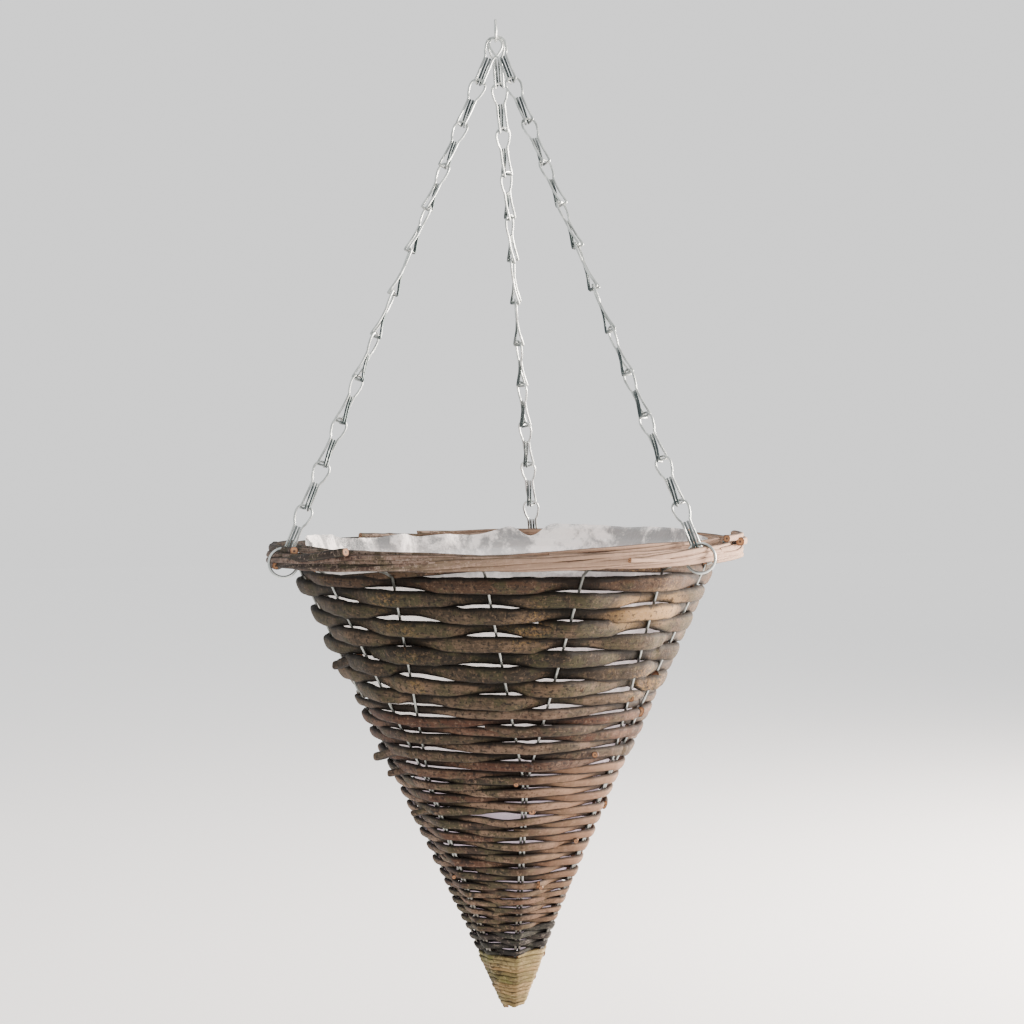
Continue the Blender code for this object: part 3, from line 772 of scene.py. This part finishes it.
def chasing_places(start_leg, first_side):
    """The crossings of one strand. It starts and ends in a long narrow tip, so that the rows stay level."""
    places = []
    last_leg = LEG_COUNT * THICK_TURNS
    for leg in range(-THICK_TAPER_LEGS, last_leg + THICK_TAPER_LEGS + 1):
        before, after = max(-leg, 0) / STAKE_COUNT, max(leg - last_leg, 0) / STAKE_COUNT
        row = min(max(leg, 0), last_leg) / LEG_COUNT
        depth = TOP_ROW_DEPTH + 2 * THICK_PITCH * row + (after - before) * THICK["high"][1]
        azimuth, radius = leg_at(leg + start_leg, depth)
        side = first_side * (1 if (leg + start_leg) % 2 == 0 else -1)
        places.append((azimuth, depth, radius, side, 1 - before - after))
    return places


THICK_ENDS = [((-28, 66, -2), (-32.5, 66.5, 4.6), 2.6), ((-60, 76, -2), (-76, 84, 8), 3.3),
              ((8, 95.5, 1), (26, 96.5, 3.5), 2.7), ((0, 4, -4), (80, 18, -4.2), 3.8),
              ((-52, 17, -4), (4, 4, -4.2), 3.0), ((182, 4, -4), (262, 18, -4.2), 3.8)]
weave("thick_withies_one", chasing_places(0, 1), THICK, 3, "thick_willow", "thick_rod_one",
      THICK_ENDS)
weave("thick_withies_two", chasing_places(STAKE_COUNT, -1), THICK, 11, "thick_willow",
      "thick_rod_two")

# %% [markdown]
# ## The middle rods
#
# Lower down, the two legs of each wire have come close together, so one strand passes outside both of them
# and inside the next two.

# %% One middle strand
MIDDLE = dict(
    high=(4.3 * MM, 3.85 * MM, 3.2 * MM), thick=2.5 * MM, shortest=0.3, longest=0.7, step=2.4 * MM, sides=14,
    lift=1.3 * MM, wander=0.6 * MM, taut=(0.2, 0.35), dip=(0.0, 0.0), nudges=20,
    openings=[(-33, 118, 0.9), (2, 122, 0.9), (34, 123, 0.8)])
MIDDLE_DEPTH = 113.0 * MM
MIDDLE_PITCH = 6.6 * MM
MIDDLE_TURNS = 7
MIDDLE_TAPER_LEGS = 8


def paired_places():
    places = []
    for leg in range(-MIDDLE_TAPER_LEGS, LEG_COUNT * MIDDLE_TURNS + 2):
        narrow = max(-leg, 0) / LEG_COUNT
        depth = MIDDLE_DEPTH + MIDDLE_PITCH * max(leg, 0) / LEG_COUNT - narrow * MIDDLE["high"][1]
        azimuth, radius = leg_at(leg, depth)
        places.append((azimuth, depth, radius, 1 if leg // 2 % 2 == 0 else -1, 1 - narrow))
    return places


MIDDLE_ENDS = [((46, 147.5, -2), (39.6, 148, 4), 2.1), ((-62, 146, -2), (-80, 154, 9), 3.2),
               ((-58, 160, -2), (-72, 165, 7), 2.6), ((56, 109, -1), (50, 108, 4.5), 2.1)]
weave("middle_withies", paired_places(), MIDDLE, 21, "brown_willow", "middle_rod",
      MIDDLE_ENDS)

# %% [markdown]
# ## The fine rods
#
# Below the middle rods come 34 turns of fine rods. Half way down they give way to thinner ones, laid much
# closer, and the last six turns are nearly black.

# %% One fine strand
FINE = dict(
    high=(3.55 * MM, 3.1 * MM, 2.6 * MM), thick=1.75 * MM, shortest=0.14, longest=0.4, step=2 * MM, sides=12,
    lift=0.7 * MM, wander=0.7 * MM, taut=(0.35, 1.0), dip=(0.0, 0.9 * MM), nudges=40,
    openings=[(-5, 192.7, 2.6), (14, 238, 0.9)])
FINE_DEPTH = 159.2 * MM
FINE_PITCH = 5.1 * MM
CLOSE_PITCH = 3.4 * MM
CLOSE_FROM_TURN = 17
DARK_FROM_TURN = 28
FINE_TURNS = 34
DARK = dict(FINE, taut=(1.0, 1.0), dip=(0.9 * MM, 1.2 * MM))


def fine_depth(turn):
    return FINE_DEPTH + FINE_PITCH * min(turn, CLOSE_FROM_TURN) + CLOSE_PITCH * max(turn - CLOSE_FROM_TURN, 0)


def fine_places(first_turn, last_turn):
    places = []
    for step in range(STAKE_COUNT * first_turn, STAKE_COUNT * last_turn + 1):
        turn = step / STAKE_COUNT
        size = np.interp(turn, (0, CLOSE_FROM_TURN - 1, CLOSE_FROM_TURN + 2), (1, 0.94, 0.7))
        depth = fine_depth(turn)
        azimuth, radius = leg_at(2 * step, depth, middle=True)
        places.append((azimuth, depth, radius, 1 if step % 2 else -1, size))
    return places


FINE_ENDS = [((14, 187, -3), (11.5, 188, 3.6), 2.3), ((5, 166, -3), (3, 166.6, 3.4), 1.7),
             ((-52, 190, -1), (-68, 195, 5), 2.2), ((52, 214, -1.5), (46, 215, 3.5), 1.7),
             ((-60, 240, -1), (-51, 242, 3), 1.5), ((30, 248.5, -2), (25, 249, 2.8), 1.4)]
weave("fine_withies", fine_places(0, DARK_FROM_TURN), FINE, 31, "fine_willow", "fine_rod",
      FINE_ENDS)
weave("dark_withies", fine_places(DARK_FROM_TURN, FINE_TURNS), DARK, 37, "dark_willow",
      "fine_rod")

# %% [markdown]
# ## The tip
#
# The foot of the cone is bound with split straw-coloured rods that stay outside all the wires.

# %% Straw binding
TIP = dict(
    high=(1.8 * MM, 1.75 * MM, 1.75 * MM), thick=1.2 * MM, shortest=0.05, longest=0.16, step=1.2 * MM,
    sides=10, lift=0.0, wander=0.3 * MM, taut=(1.0, 1.0), dip=(1.5 * MM, 1.0 * MM), nudges=8, openings=[])
TIP_PITCH = 3.06 * MM
TIP_TURNS = 14


def tip_places():
    places = []
    for step in range(STAKE_COUNT * TIP_TURNS):
        depth = fine_depth(FINE_TURNS) + TIP_PITCH * step / STAKE_COUNT
        azimuth, radius = leg_at(2 * step, depth, middle=True)
        places.append((azimuth, depth, radius + 0.5 * MM, 1, 1))
    return places


weave("straw_binding", tip_places(), TIP, 41, "straw_willow", "tip_rod")

# %% [markdown]
# ## The border
#
# The border is a bundle of thin rods laid round the hoop, in three groups that follow the solids' places.
# The inner group lies inside the hoop. The outer and the lower group lie outside it, one above the other, and
# most of their rods twist slowly round the middle line of their group. Some short cut ends stick out as well.
#
# A group is given by the radius and depth of its middle line, how far that line bows between the chains, and
# half its width and height. Each rod follows by its start and arc in degrees, half its thickness in
# millimetres, its place round the middle line in degrees, and its distance from that line as a share of the
# group's size. Only rods with a share of 1 twist.

# %% Rods round the hoop
CHAIN_AZIMUTHS = {"left": math.radians(-68), "right": math.radians(53), "rear": math.radians(172)}
TWIST = -2.4
STRAY = 0.4 * MM
BORDER_GROUPS = {
    "inner_border_rod": (159.3 * MM, -1.35 * MM, -1.8 * MM, 2.2 * MM, 2.2 * MM,
                         [(118, 350, 2.0, 0, 0), (-20, 270, 1.5, 0, 1), (-150, 260, 1.6, 90, 1),
                          (-128, 190, 1.4, 180, 1), (30, 240, 1.4, 270, 1)],
                         [((198, 0, 3), (224, -4, 4), 2.2), ((160, 0, 2), (205, -4, 5), 1.7),
                          ((150, -1, 3), (120, -4.5, 5), 1.7), ((-110, -1.5, 14), (-62, -3.0, 10), 3.0)]),
    "outer_border_rod": (173.6 * MM, 3.3 * MM, 0.9 * MM, 2.6 * MM, 4.0 * MM,
                         [(86, 352, 2.3, 270, 0.6), (24, 352, 2.3, 330, 0.3), (-150, 330, 1.8, 0, 1),
                          (-52, 340, 2.1, 72, 1), (80, 330, 1.7, 144, 1), (-100, 340, 2.0, 216, 1),
                          (10, 330, 1.6, 288, 1)],
                         [((-75, 9.5, 17), (-37.5, -5.0, 19), 2.9), ((104, 0, 14), (70, -3, 20), 3.0),
                          ((96, -5, 12), (62, -6.5, 17), 2.5), ((40, 5, 19), (28, 3.5, 23.5), 1.7)]),
    "lower_border_rod": (173.0 * MM, 4.1 * MM, 0.9 * MM, 2.8 * MM, 4.2 * MM,
                         [(-104, 352, 2.4, 90, 0.6), (-10, 352, 2.3, 60, 0.3), (-70, -330, 2.3, 36, 1),
                          (60, 340, 1.9, 108, 1), (170, 330, 1.8, 180, 1), (84, 340, 2.0, 252, 1),
                          (-30, 330, 1.6, 324, 1)],
                         [((-98, 8, 16), (-70, 8.5, 21), 2.6), ((60, 9, 17), (80, 8, 20), 2.2)]),
}


def border(node, seed):
    """One group of thin rods. Each starts at its cut end and thins out along its arc."""
    radius, depth, bow, wide, tall, rods, ends = BORDER_GROUPS[node]
    random = np.random.default_rng(seed)
    bundle = Bundle()
    for start, arc, half, phase, share in rods:
        azimuth = math.radians(start) + np.linspace(0, math.radians(arc), int(abs(arc) * 1.4))
        run = np.abs(azimuth - azimuth[0]) * radius
        wave = np.cos(3 * (azimuth - CHAIN_AZIMUTHS["rear"]))
        out = bow * wave if bow < 0 else bow * (wave - 0.5)
        turn = math.radians(phase) + azimuth * (TWIST if share == 1 else 0)
        turn = turn + 0.25 * ripple(run, 0.21, random) * (share == 1)
        beyond = radius + out + wide * share * np.cos(turn) + STRAY * ripple(run, 0.13, random)
        below = depth + out / 2 + tall * share * np.sin(turn) + STRAY * ripple(run, 0.17, random)
        taper = half * MM * np.linspace(1.1, 0.75, len(azimuth))
        path = on_cone(beyond, azimuth, below)
        rod(bundle, path, outwards(azimuth), taper, taper, 12, random.uniform(0, 1), random)
    for end in ends:
        rod_end(bundle, end, random)
    made = bundle.piece(node.replace("_rod", "_withies"), BARKS["border_willow"], CUT)
    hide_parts(node)
    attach(made, "basket")


for seed, node in enumerate(BORDER_GROUPS):
    border(node, 51 + seed)
print("border groups:", len(BORDER_GROUPS))

# %% [markdown]
# ## Wire work
#
# Rings, links and stakes are all bent wire. Real wire bends in soft curves, so the corner points of each
# piece are rounded first, and a round section is then carried along the curve without twisting.

# %% Bent wire
HOOK_FROM_END, HOOK_REACH = 0.012, 0.014


def rounded(points, parts, closed=False):
    """A smooth curve through points, by cubic pieces whose slopes come from the neighbours."""
    points = np.asarray(points, float)
    if closed:
        padded = np.concatenate([points[-1:], points, points[:2]])
    else:
        padded = np.concatenate([2 * points[:1] - points[1:2], points, 2 * points[-1:] - points[-2:-1]])
    share = (np.arange(parts) / parts)[:, None]
    smooth = []
    for before, first, second, after in zip(padded, padded[1:], padded[2:], padded[3:]):
        bend = 2 * before - 5 * first + 4 * second - after
        rest = -before + 3 * first - 3 * second + after
        smooth.append(first + ((second - before) * share + bend * share ** 2 + rest * share ** 3) / 2)
    if not closed:
        smooth.append(points[-1:])
    return np.concatenate(smooth)


def wire(bundle, path, diameter, closed=False, sides=10):
    """Adds one wire along a path, its section carried along without twisting."""
    ahead = unit(np.roll(path, -1, 0) - np.roll(path, 1, 0)) if closed else unit(np.gradient(path, axis=0))
    across = np.cross(ahead[0], (0.31, 0.82, 0.48))
    angle = FULL_TURN * np.arange(sides) / sides
    rings = []
    for point, forward in zip(path, ahead):
        across = across - forward * (across @ forward)
        across /= np.linalg.norm(across)
        third = np.cross(forward, across)
        section = np.cos(angle)[:, None] * across + np.sin(angle)[:, None] * third
        rings.append(point + diameter / 2 * section)
    run = np.concatenate([[0], np.cumsum(np.linalg.norm(np.diff(path, axis=0), axis=1))])
    spread = np.broadcast_to(diameter / 2 * np.stack([np.cos(angle), np.sin(angle)], axis=-1),
                             (len(path), sides, 2))
    # Highest at the hooks, which are darkened: partly duller zinc, partly painted shade between the legs.
    ends = np.exp(-((np.minimum(run, run[-1] - run) - HOOK_FROM_END) / HOOK_REACH) ** 4)
    bundle.add(np.array(rings), run, spread, 0.0 if closed else ends, closed)


def wire_piece(name, path, diameter, node, body, closed=False, sides=10, skin=ZINC):
    """One visible piece that is a single bent wire."""
    bundle = Bundle()
    wire(bundle, path, diameter, closed, sides)
    made = bundle.piece(name, skin)
    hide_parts(node)
    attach(made, body)
    return made


# %% [markdown]
# ### Stakes and hoop
#
# Each stake is one wire, bent like a hairpin. Its two legs run up the cone, part, turn up at the shoulder and
# end in eyes over the hoop.

# %% Stakes and hoop
STAKE_EYE_RADIUS = 4.4 * MM
ELBOW_RADIUS = 162.5 * MM
ELBOW_DEPTH = 10 * MM


def leg_point(leg, depth):
    azimuth, radius = leg_at(leg, depth)
    return on_cone(radius, azimuth, depth)


def eye_points(leg):
    azimuth, _ = leg_at(leg, SHOULDER_DEPTH)
    lift = STAKE_EYE_RADIUS - STAKE_WIRE / 2 - HOOP_WIRE / 2 - SEAT_GAP
    points = [on_cone(ELBOW_RADIUS, azimuth, ELBOW_DEPTH)]
    for degrees in (-30, 20, 70, 120, 170, 210):
        angle = math.radians(degrees)
        points.append(on_cone(HOOP_RADIUS + STAKE_EYE_RADIUS * math.cos(angle), azimuth,
                              HOOP_DEPTH + lift - STAKE_EYE_RADIUS * math.sin(angle)))
    return points


def leg_path(leg):
    """A leg from its foot to its eye: straight runs, and soft bends above the shoulder."""
    depths = np.linspace(FOOT_DEPTH, SHOULDER_DEPTH, 30)
    bends = rounded([leg_point(leg, SHOULDER_DEPTH)] + eye_points(leg), 4)
    return np.concatenate([[leg_point(leg, depth) for depth in depths[:-1]], bends])


for pair in range(STAKE_COUNT):
    left, right = leg_path(2 * pair), leg_path(2 * pair + 1)
    foot = (left[0] + right[0]) / 2 - np.array([0, 0, PAIR_HALF_GAP])
    wire_piece(f"bent_stake_{pair + 1}", np.concatenate([left[::-1], [foot], right]), STAKE_WIRE,
               f"stake_wire_{pair + 1}", "basket", skin=DULL_ZINC)
around = np.linspace(0, FULL_TURN, 120, endpoint=False)
wire_piece("hidden_hoop", on_cone(HOOP_RADIUS, around, HOOP_DEPTH), HOOP_WIRE, "rim_hoop", "basket", True)
print("stakes:", STAKE_COUNT)

# %% [markdown]
# ### Chains
#
# Every link is one wire. Its loop is round at the top, its legs close in to a waist and run on side by side,
# and both ends fold up in a double hook that holds the next loop. The chains are pulled straight, and each
# link is turned a little against the last one, because the ring at one end and the rim at the other face
# different ways.

# %% Sizes of the chains
TOP_SEAT_ANGLES = {"left": math.radians(-1), "right": math.radians(-21), "rear": math.radians(27)}
RING_LEANS = {"left": math.radians(-20), "right": math.radians(25)}
LINK_COUNT = 12
HALF_TWISTS = {"left": 1, "right": 0, "rear": 1}
TOP_RING_RADIUS = 7.6 * MM
RIM_RING_RADIUS = 10.4 * MM
HOOP_IN_RING_UP = 4.6 * MM
HOOP_IN_RING_IN = 5.0 * MM
LOOP_HALF_WIDTH = 5.9 * MM
LOOP_RISE = 6.5 * MM
LEG_HALF_WIDTH = 3.1 * MM
RETURN_HALF_WIDTH = 1.1 * MM
HOOK_HALF_DEPTH = 3.3 * MM
HOOK_CORNER = 1.0 * MM
HOOK_SEAT = 2.5 * MM
WAIST_SHARE = 0.47


# %% The line of each chain
def pull_line(side):
    """Directions up and across a chain, and the wires that its last hook and its first loop hold."""
    azimuth, seat = CHAIN_AZIMUTHS[side], TOP_SEAT_ANGLES[side]
    out = Vector((math.sin(azimuth), -math.cos(azimuth), 0))
    top = Vector((0, TOP_RING_RADIUS * math.sin(seat),
                  RING_WIRE / 2 - TOP_RING_RADIUS - TOP_RING_RADIUS * math.cos(seat)))
    hoop = out * HOOP_RADIUS - Vector((0, 0, RIM_DROP + HOOP_DEPTH))
    up, hold = (top - hoop).normalized(), hoop
    for _ in range(4):
        inward = -(up.cross(out.cross(up))).normalized()
        if side in RING_LEANS:
            hold = hoop + up * (RIM_RING_RADIUS - HOOP_IN_RING_UP) - inward * HOOP_IN_RING_IN
        up = (top - hold).normalized()
    return up, inward, hold, top


def link_path(pitch, seat):
    """The middle line of one link, from its loop's top down. It ends lower than the pitch by the seat."""
    half = []
    for degrees in (22, 45, 67, 90):
        angle = math.radians(degrees)
        half.append((LOOP_HALF_WIDTH * math.sin(angle) ** 0.8, 0, -LOOP_RISE * (1 - math.cos(angle) ** 0.8)))
    lowest = -pitch - seat
    foot = np.array([LEG_HALF_WIDTH, -HOOK_HALF_DEPTH, lowest])
    end = np.array([RETURN_HALF_WIDTH, HOOK_HALF_DEPTH, lowest])
    along, rise = unit(end - foot) * HOOK_CORNER, np.array([0, 0, HOOK_CORNER])
    half += [(LEG_HALF_WIDTH + 0.55 * (LOOP_HALF_WIDTH - LEG_HALF_WIDTH), 0, -0.36 * pitch),
             (LEG_HALF_WIDTH, 0, -WAIST_SHARE * pitch),
             (LEG_HALF_WIDTH, -0.3 * HOOK_HALF_DEPTH, -0.75 * pitch),
             foot + rise, foot + along, end - along, end + rise,
             (RETURN_HALF_WIDTH, 0.3 * HOOK_HALF_DEPTH, -0.75 * pitch),
             (RETURN_HALF_WIDTH, 0, -WAIST_SHARE * pitch)]
    half = np.array(half)
    return rounded(np.concatenate([half[::-1] * (-1, 1, 1), [(0, 0, 0)], half]), 4)


# %% Links and rings
def placed(points, across, up, middle):
    """Points turned so that their first axis runs across and their third up, and moved to a middle."""
    frame = np.array(Matrix((across, up.cross(across), up)))
    return points @ frame + np.array(middle)


def ring_path(radius):
    turn = np.linspace(0, FULL_TURN, 48, endpoint=False)
    return np.stack([radius * np.cos(turn), 0 * turn, radius * np.sin(turn)], axis=-1)


def chain(side):
    """The links of one chain from the top down, and its rim ring if it has one."""
    up, inward, hold, top = pull_line(side)
    first = top + up * (RING_WIRE / 2 + LINK_WIRE / 2 + SEAT_GAP)
    pitch = (first - hold).length / LINK_COUNT
    last_seat = LINK_WIRE / 2 + SEAT_GAP + HOOP_WIRE / 2
    last_across = up.cross(inward)
    if side in RING_LEANS:
        last_seat = LINK_WIRE / 2 + SEAT_GAP + RING_WIRE / 2 + 0.5 * MM
        last_across = Matrix.Rotation(RING_LEANS[side], 3, up) @ inward
        path = placed(ring_path(RIM_RING_RADIUS), last_across, up, hold - up * RIM_RING_RADIUS)
        wire_piece(f"{side}_ring", path, RING_WIRE, f"{side}_rim_ring", f"{side}_rim_ring", True, 12)
    first_across = Vector((0, 1, 0)).cross(up).normalized()
    turn = math.atan2(first_across.cross(last_across).dot(up), first_across.dot(last_across))
    total = turn + math.pi * HALF_TWISTS[side] * (1 if turn < 0 else -1)
    for number in range(LINK_COUNT):
        across = Matrix.Rotation(total * number / (LINK_COUNT - 1), 3, up) @ first_across
        seat = last_seat if number == LINK_COUNT - 1 else HOOK_SEAT
        path = placed(link_path(pitch, seat), across, up, first - up * pitch * number)
        wire_piece(f"{side}_link_{number + 1:02d}", path, LINK_WIRE, f"{side}_chain_link_{number + 1:02d}",
                   "basket")
    print(side, "chain: pitch", round(pitch / MM, 2), "mm")


for side in CHAIN_AZIMUTHS:
    chain(side)
hanging = placed(ring_path(TOP_RING_RADIUS), Vector((0, 1, 0)), Vector((0, 0, 1)),
                 Vector((0, 0, RING_WIRE / 2 - TOP_RING_RADIUS)))
wire_piece("hanging_ring", hanging, RING_WIRE, "top_ring", "top_ring", True, 12)

# %% [markdown]
# ## The liner
#
# The liner is a flat piece of film pushed into the cone. It gathers in soft pleats that run down, and it is
# crumpled all over. It can't be stretched, so the mesh is a cone first, and the pleats and creases only push
# its points inwards by a few millimetres.

# %% The crumpled film
LINER_RIM_RADIUS = 152.5 * MM
LINER_FOOT_DEPTH = 300 * MM
LINER_SIDES = 360
LINER_LEVELS = 110
EDGE_AZIMUTHS = (-180, -172, -130, -118, -92, -76, -60, 60, 80, 100, 130, 168, 172, 176, 180)
EDGE_RISES = (7, 3, 2.5, 8, 10, 3, -1, -1, 4, 6, 8, 9, -7, 9, 7)
WALL_GAP, CLOSER_BELOW = 10.5 * MM, 5.0 * MM
FOLD_MIDDLE, FOLD_HEIGHT = 3.4 * MM, 1.4 * MM
CREASE_HEIGHT, RIM_CREASES = 1.4 * MM, 1.2 * MM


def fold_wave(turns):
    """A wave of straight slopes between sharp creases, from -1 to 1."""
    return 4 * np.abs(turns - np.floor(turns + 0.5)) - 1


def liner():
    random = np.random.default_rng(71)
    azimuth = np.linspace(-math.pi, math.pi, LINER_SIDES, endpoint=False)[None, :]
    share = np.linspace(0, 1, LINER_LEVELS)[:, None]
    rise = np.interp(np.degrees(azimuth), EDGE_AZIMUTHS, EDGE_RISES) * MM
    rise = sum(np.roll(rise, shift) for shift in range(-3, 4)) / 7
    depth = LINER_FOOT_DEPTH * share - rise * (1 - share) ** 3
    tight = np.clip((depth - 0.15) / 0.1, 0, 1)
    wall = stake_radius(depth) * (1 - 0.06 * tight) - (WALL_GAP - CLOSER_BELOW * tight)
    radius = np.minimum(LINER_RIM_RADIUS, wall)
    folds = np.zeros((LINER_LEVELS, LINER_SIDES))
    for count in (5, 9, 14, 23):
        drift = random.uniform(-1, 1) * share
        folds += np.sin(count * azimuth + FULL_TURN * (drift + random.uniform(0, 1))) / count ** 0.5
    creases = np.zeros_like(folds)
    for _ in range(16):
        around, down = random.integers(4, 30), random.uniform(-9, 9)
        wave = fold_wave(around * azimuth / FULL_TURN + down * share + random.uniform(0, 1))
        creases += wave / math.hypot(around / 12, down / 4, 1)
    creases = (creases - creases.mean()) / creases.std()
    fade = radius / LINER_RIM_RADIUS
    crumple = (CREASE_HEIGHT + RIM_CREASES * np.exp(-share * 6)) * creases
    inward = (FOLD_MIDDLE + FOLD_HEIGHT * folds + crumple) * fade
    lift = np.exp(-share * 16) * (0.7 * MM * np.sin(7 * azimuth) + 0.6 * MM * creases)
    points = on_cone(radius - np.clip(inward, 0, None), azimuth, depth - lift).reshape(-1, 3).tolist()
    points.append((0, 0, -RIM_DROP - LINER_FOOT_DEPTH - 3 * MM))
    faces = []
    for level in range(LINER_LEVELS - 1):
        for side in range(LINER_SIDES):
            here, beside = level * LINER_SIDES + side, level * LINER_SIDES + (side + 1) % LINER_SIDES
            faces.append((here, here + LINER_SIDES, beside + LINER_SIDES, beside))
    last = (LINER_LEVELS - 1) * LINER_SIDES
    faces += [(last + side, len(points) - 1, last + (side + 1) % LINER_SIDES) for side in range(LINER_SIDES)]
    mesh = bpy.data.meshes.new("crumpled_film")
    mesh.from_pydata(points, [], faces)
    mesh.materials.append(FILM)
    mesh.shade_smooth()
    made = shown("crumpled_film", mesh)
    print("film area", round(sum(face.area for face in mesh.polygons), 4), "square metres")
    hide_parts("film_liner")
    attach(made, "basket")


liner()

# %% [markdown]
# ## Studio
#
# The basket hangs before a plain white ground in soft light. The strongest light comes from the right and a
# little from behind, so the left of the cone stays dark brown and its right turns pale. A small one above
# lights the mouth.

# %% Floor and lights
FLOOR_LEVEL = -0.80
LAMPS = (("right_softbox", (1.75, 0.5, -0.2), 0.9, 225.0), ("mouth_light", (0.3, 0.2, 0.9), 0.8, 5.0))
LAMP_COLOUR = (1.0, 0.88, 0.79)
LAMP_AIM = Vector((0, 0, -0.5))
WHITE = rgb(1.0, 1.0, 1.0)


def studio():
    """A white room with a floor and two round lamps, each by its name, place, size and power."""
    finish = Finish("pale_floor", Roughness=0.9, Emission_Strength=0.07, Emission_Color=WHITE)
    clouds = finish.noise(finish.place(), 2.0)
    finish.set(Base_Color=finish.blend(clouds, rgb(0.94, 0.94, 0.94), rgb(0.96, 0.96, 0.96)))
    bpy.ops.mesh.primitive_plane_add(size=14, location=(0, 0, FLOOR_LEVEL))
    floor = bpy.context.object
    floor.name = "pale_floor"
    floor.data.materials.append(finish.material)
    world = bpy.data.worlds.new("white_room")
    world.use_nodes = True
    world.node_tree.nodes["Background"].inputs["Color"].default_value = WHITE
    world.node_tree.nodes["Background"].inputs["Strength"].default_value = 1.25
    bpy.context.scene.world = world
    for name, place, size, power in LAMPS:
        light = bpy.data.lights.new(name, "AREA")
        light.shape = "DISK"
        light.size = size
        light.energy = power
        light.color = LAMP_COLOUR
        lamp = shown(name, light)
        lamp.location = place
        lamp.rotation_euler = (LAMP_AIM - Vector(place)).to_track_quat("-Z", "Y").to_euler()


studio()

# %% [markdown]
# ## Camera
#
# The photo was taken from about 1.9 m, a little above the rim, with a long lens. It leans by a degree.

# %% Camera
CAMERA_DISTANCE = 1.9
CAMERA_OVER_RIM = 98 * MM
FOCAL_PIXELS = 2550
PHOTO_SIZE = 1024
SENSOR = 36
TIP_DEPTH = 345 * MM
TILT, YAW, ROLL = math.radians(2.2), math.radians(0.17), math.radians(1.05)
lens = bpy.data.cameras.new("photo_lens")
lens.sensor_width = SENSOR
lens.lens = SENSOR * FOCAL_PIXELS / PHOTO_SIZE
camera = shown("photo_camera", lens)
camera.matrix_world = (Matrix.Translation((0, -CAMERA_DISTANCE, CAMERA_OVER_RIM - RIM_DROP))
                       @ Matrix.Rotation(-YAW, 4, "Z") @ Matrix.Rotation(math.pi / 2 - TILT, 4, "X")
                       @ Matrix.Rotation(-ROLL, 4, "Z"))
bpy.context.scene.camera = camera


def in_photo(height):
    """Where a point on the basket's axis lies in the photo, in pixels from its top left corner."""
    seen = camera.matrix_world.inverted() @ Vector((0, 0, height))
    return [round(PHOTO_SIZE / 2 + FOCAL_PIXELS * seen.x / -seen.z, 1),
            round(PHOTO_SIZE / 2 - FOCAL_PIXELS * seen.y / -seen.z, 1)]


for label, height in (("hang point", 0), ("rim", -RIM_DROP), ("tip", -RIM_DROP - TIP_DEPTH)):
    print(label, in_photo(height))

# %% [markdown]
# The visual pieces have to fill the same box as the imported model, so both boxes are written down.

# %% Update the scene
bpy.context.view_layer.update()
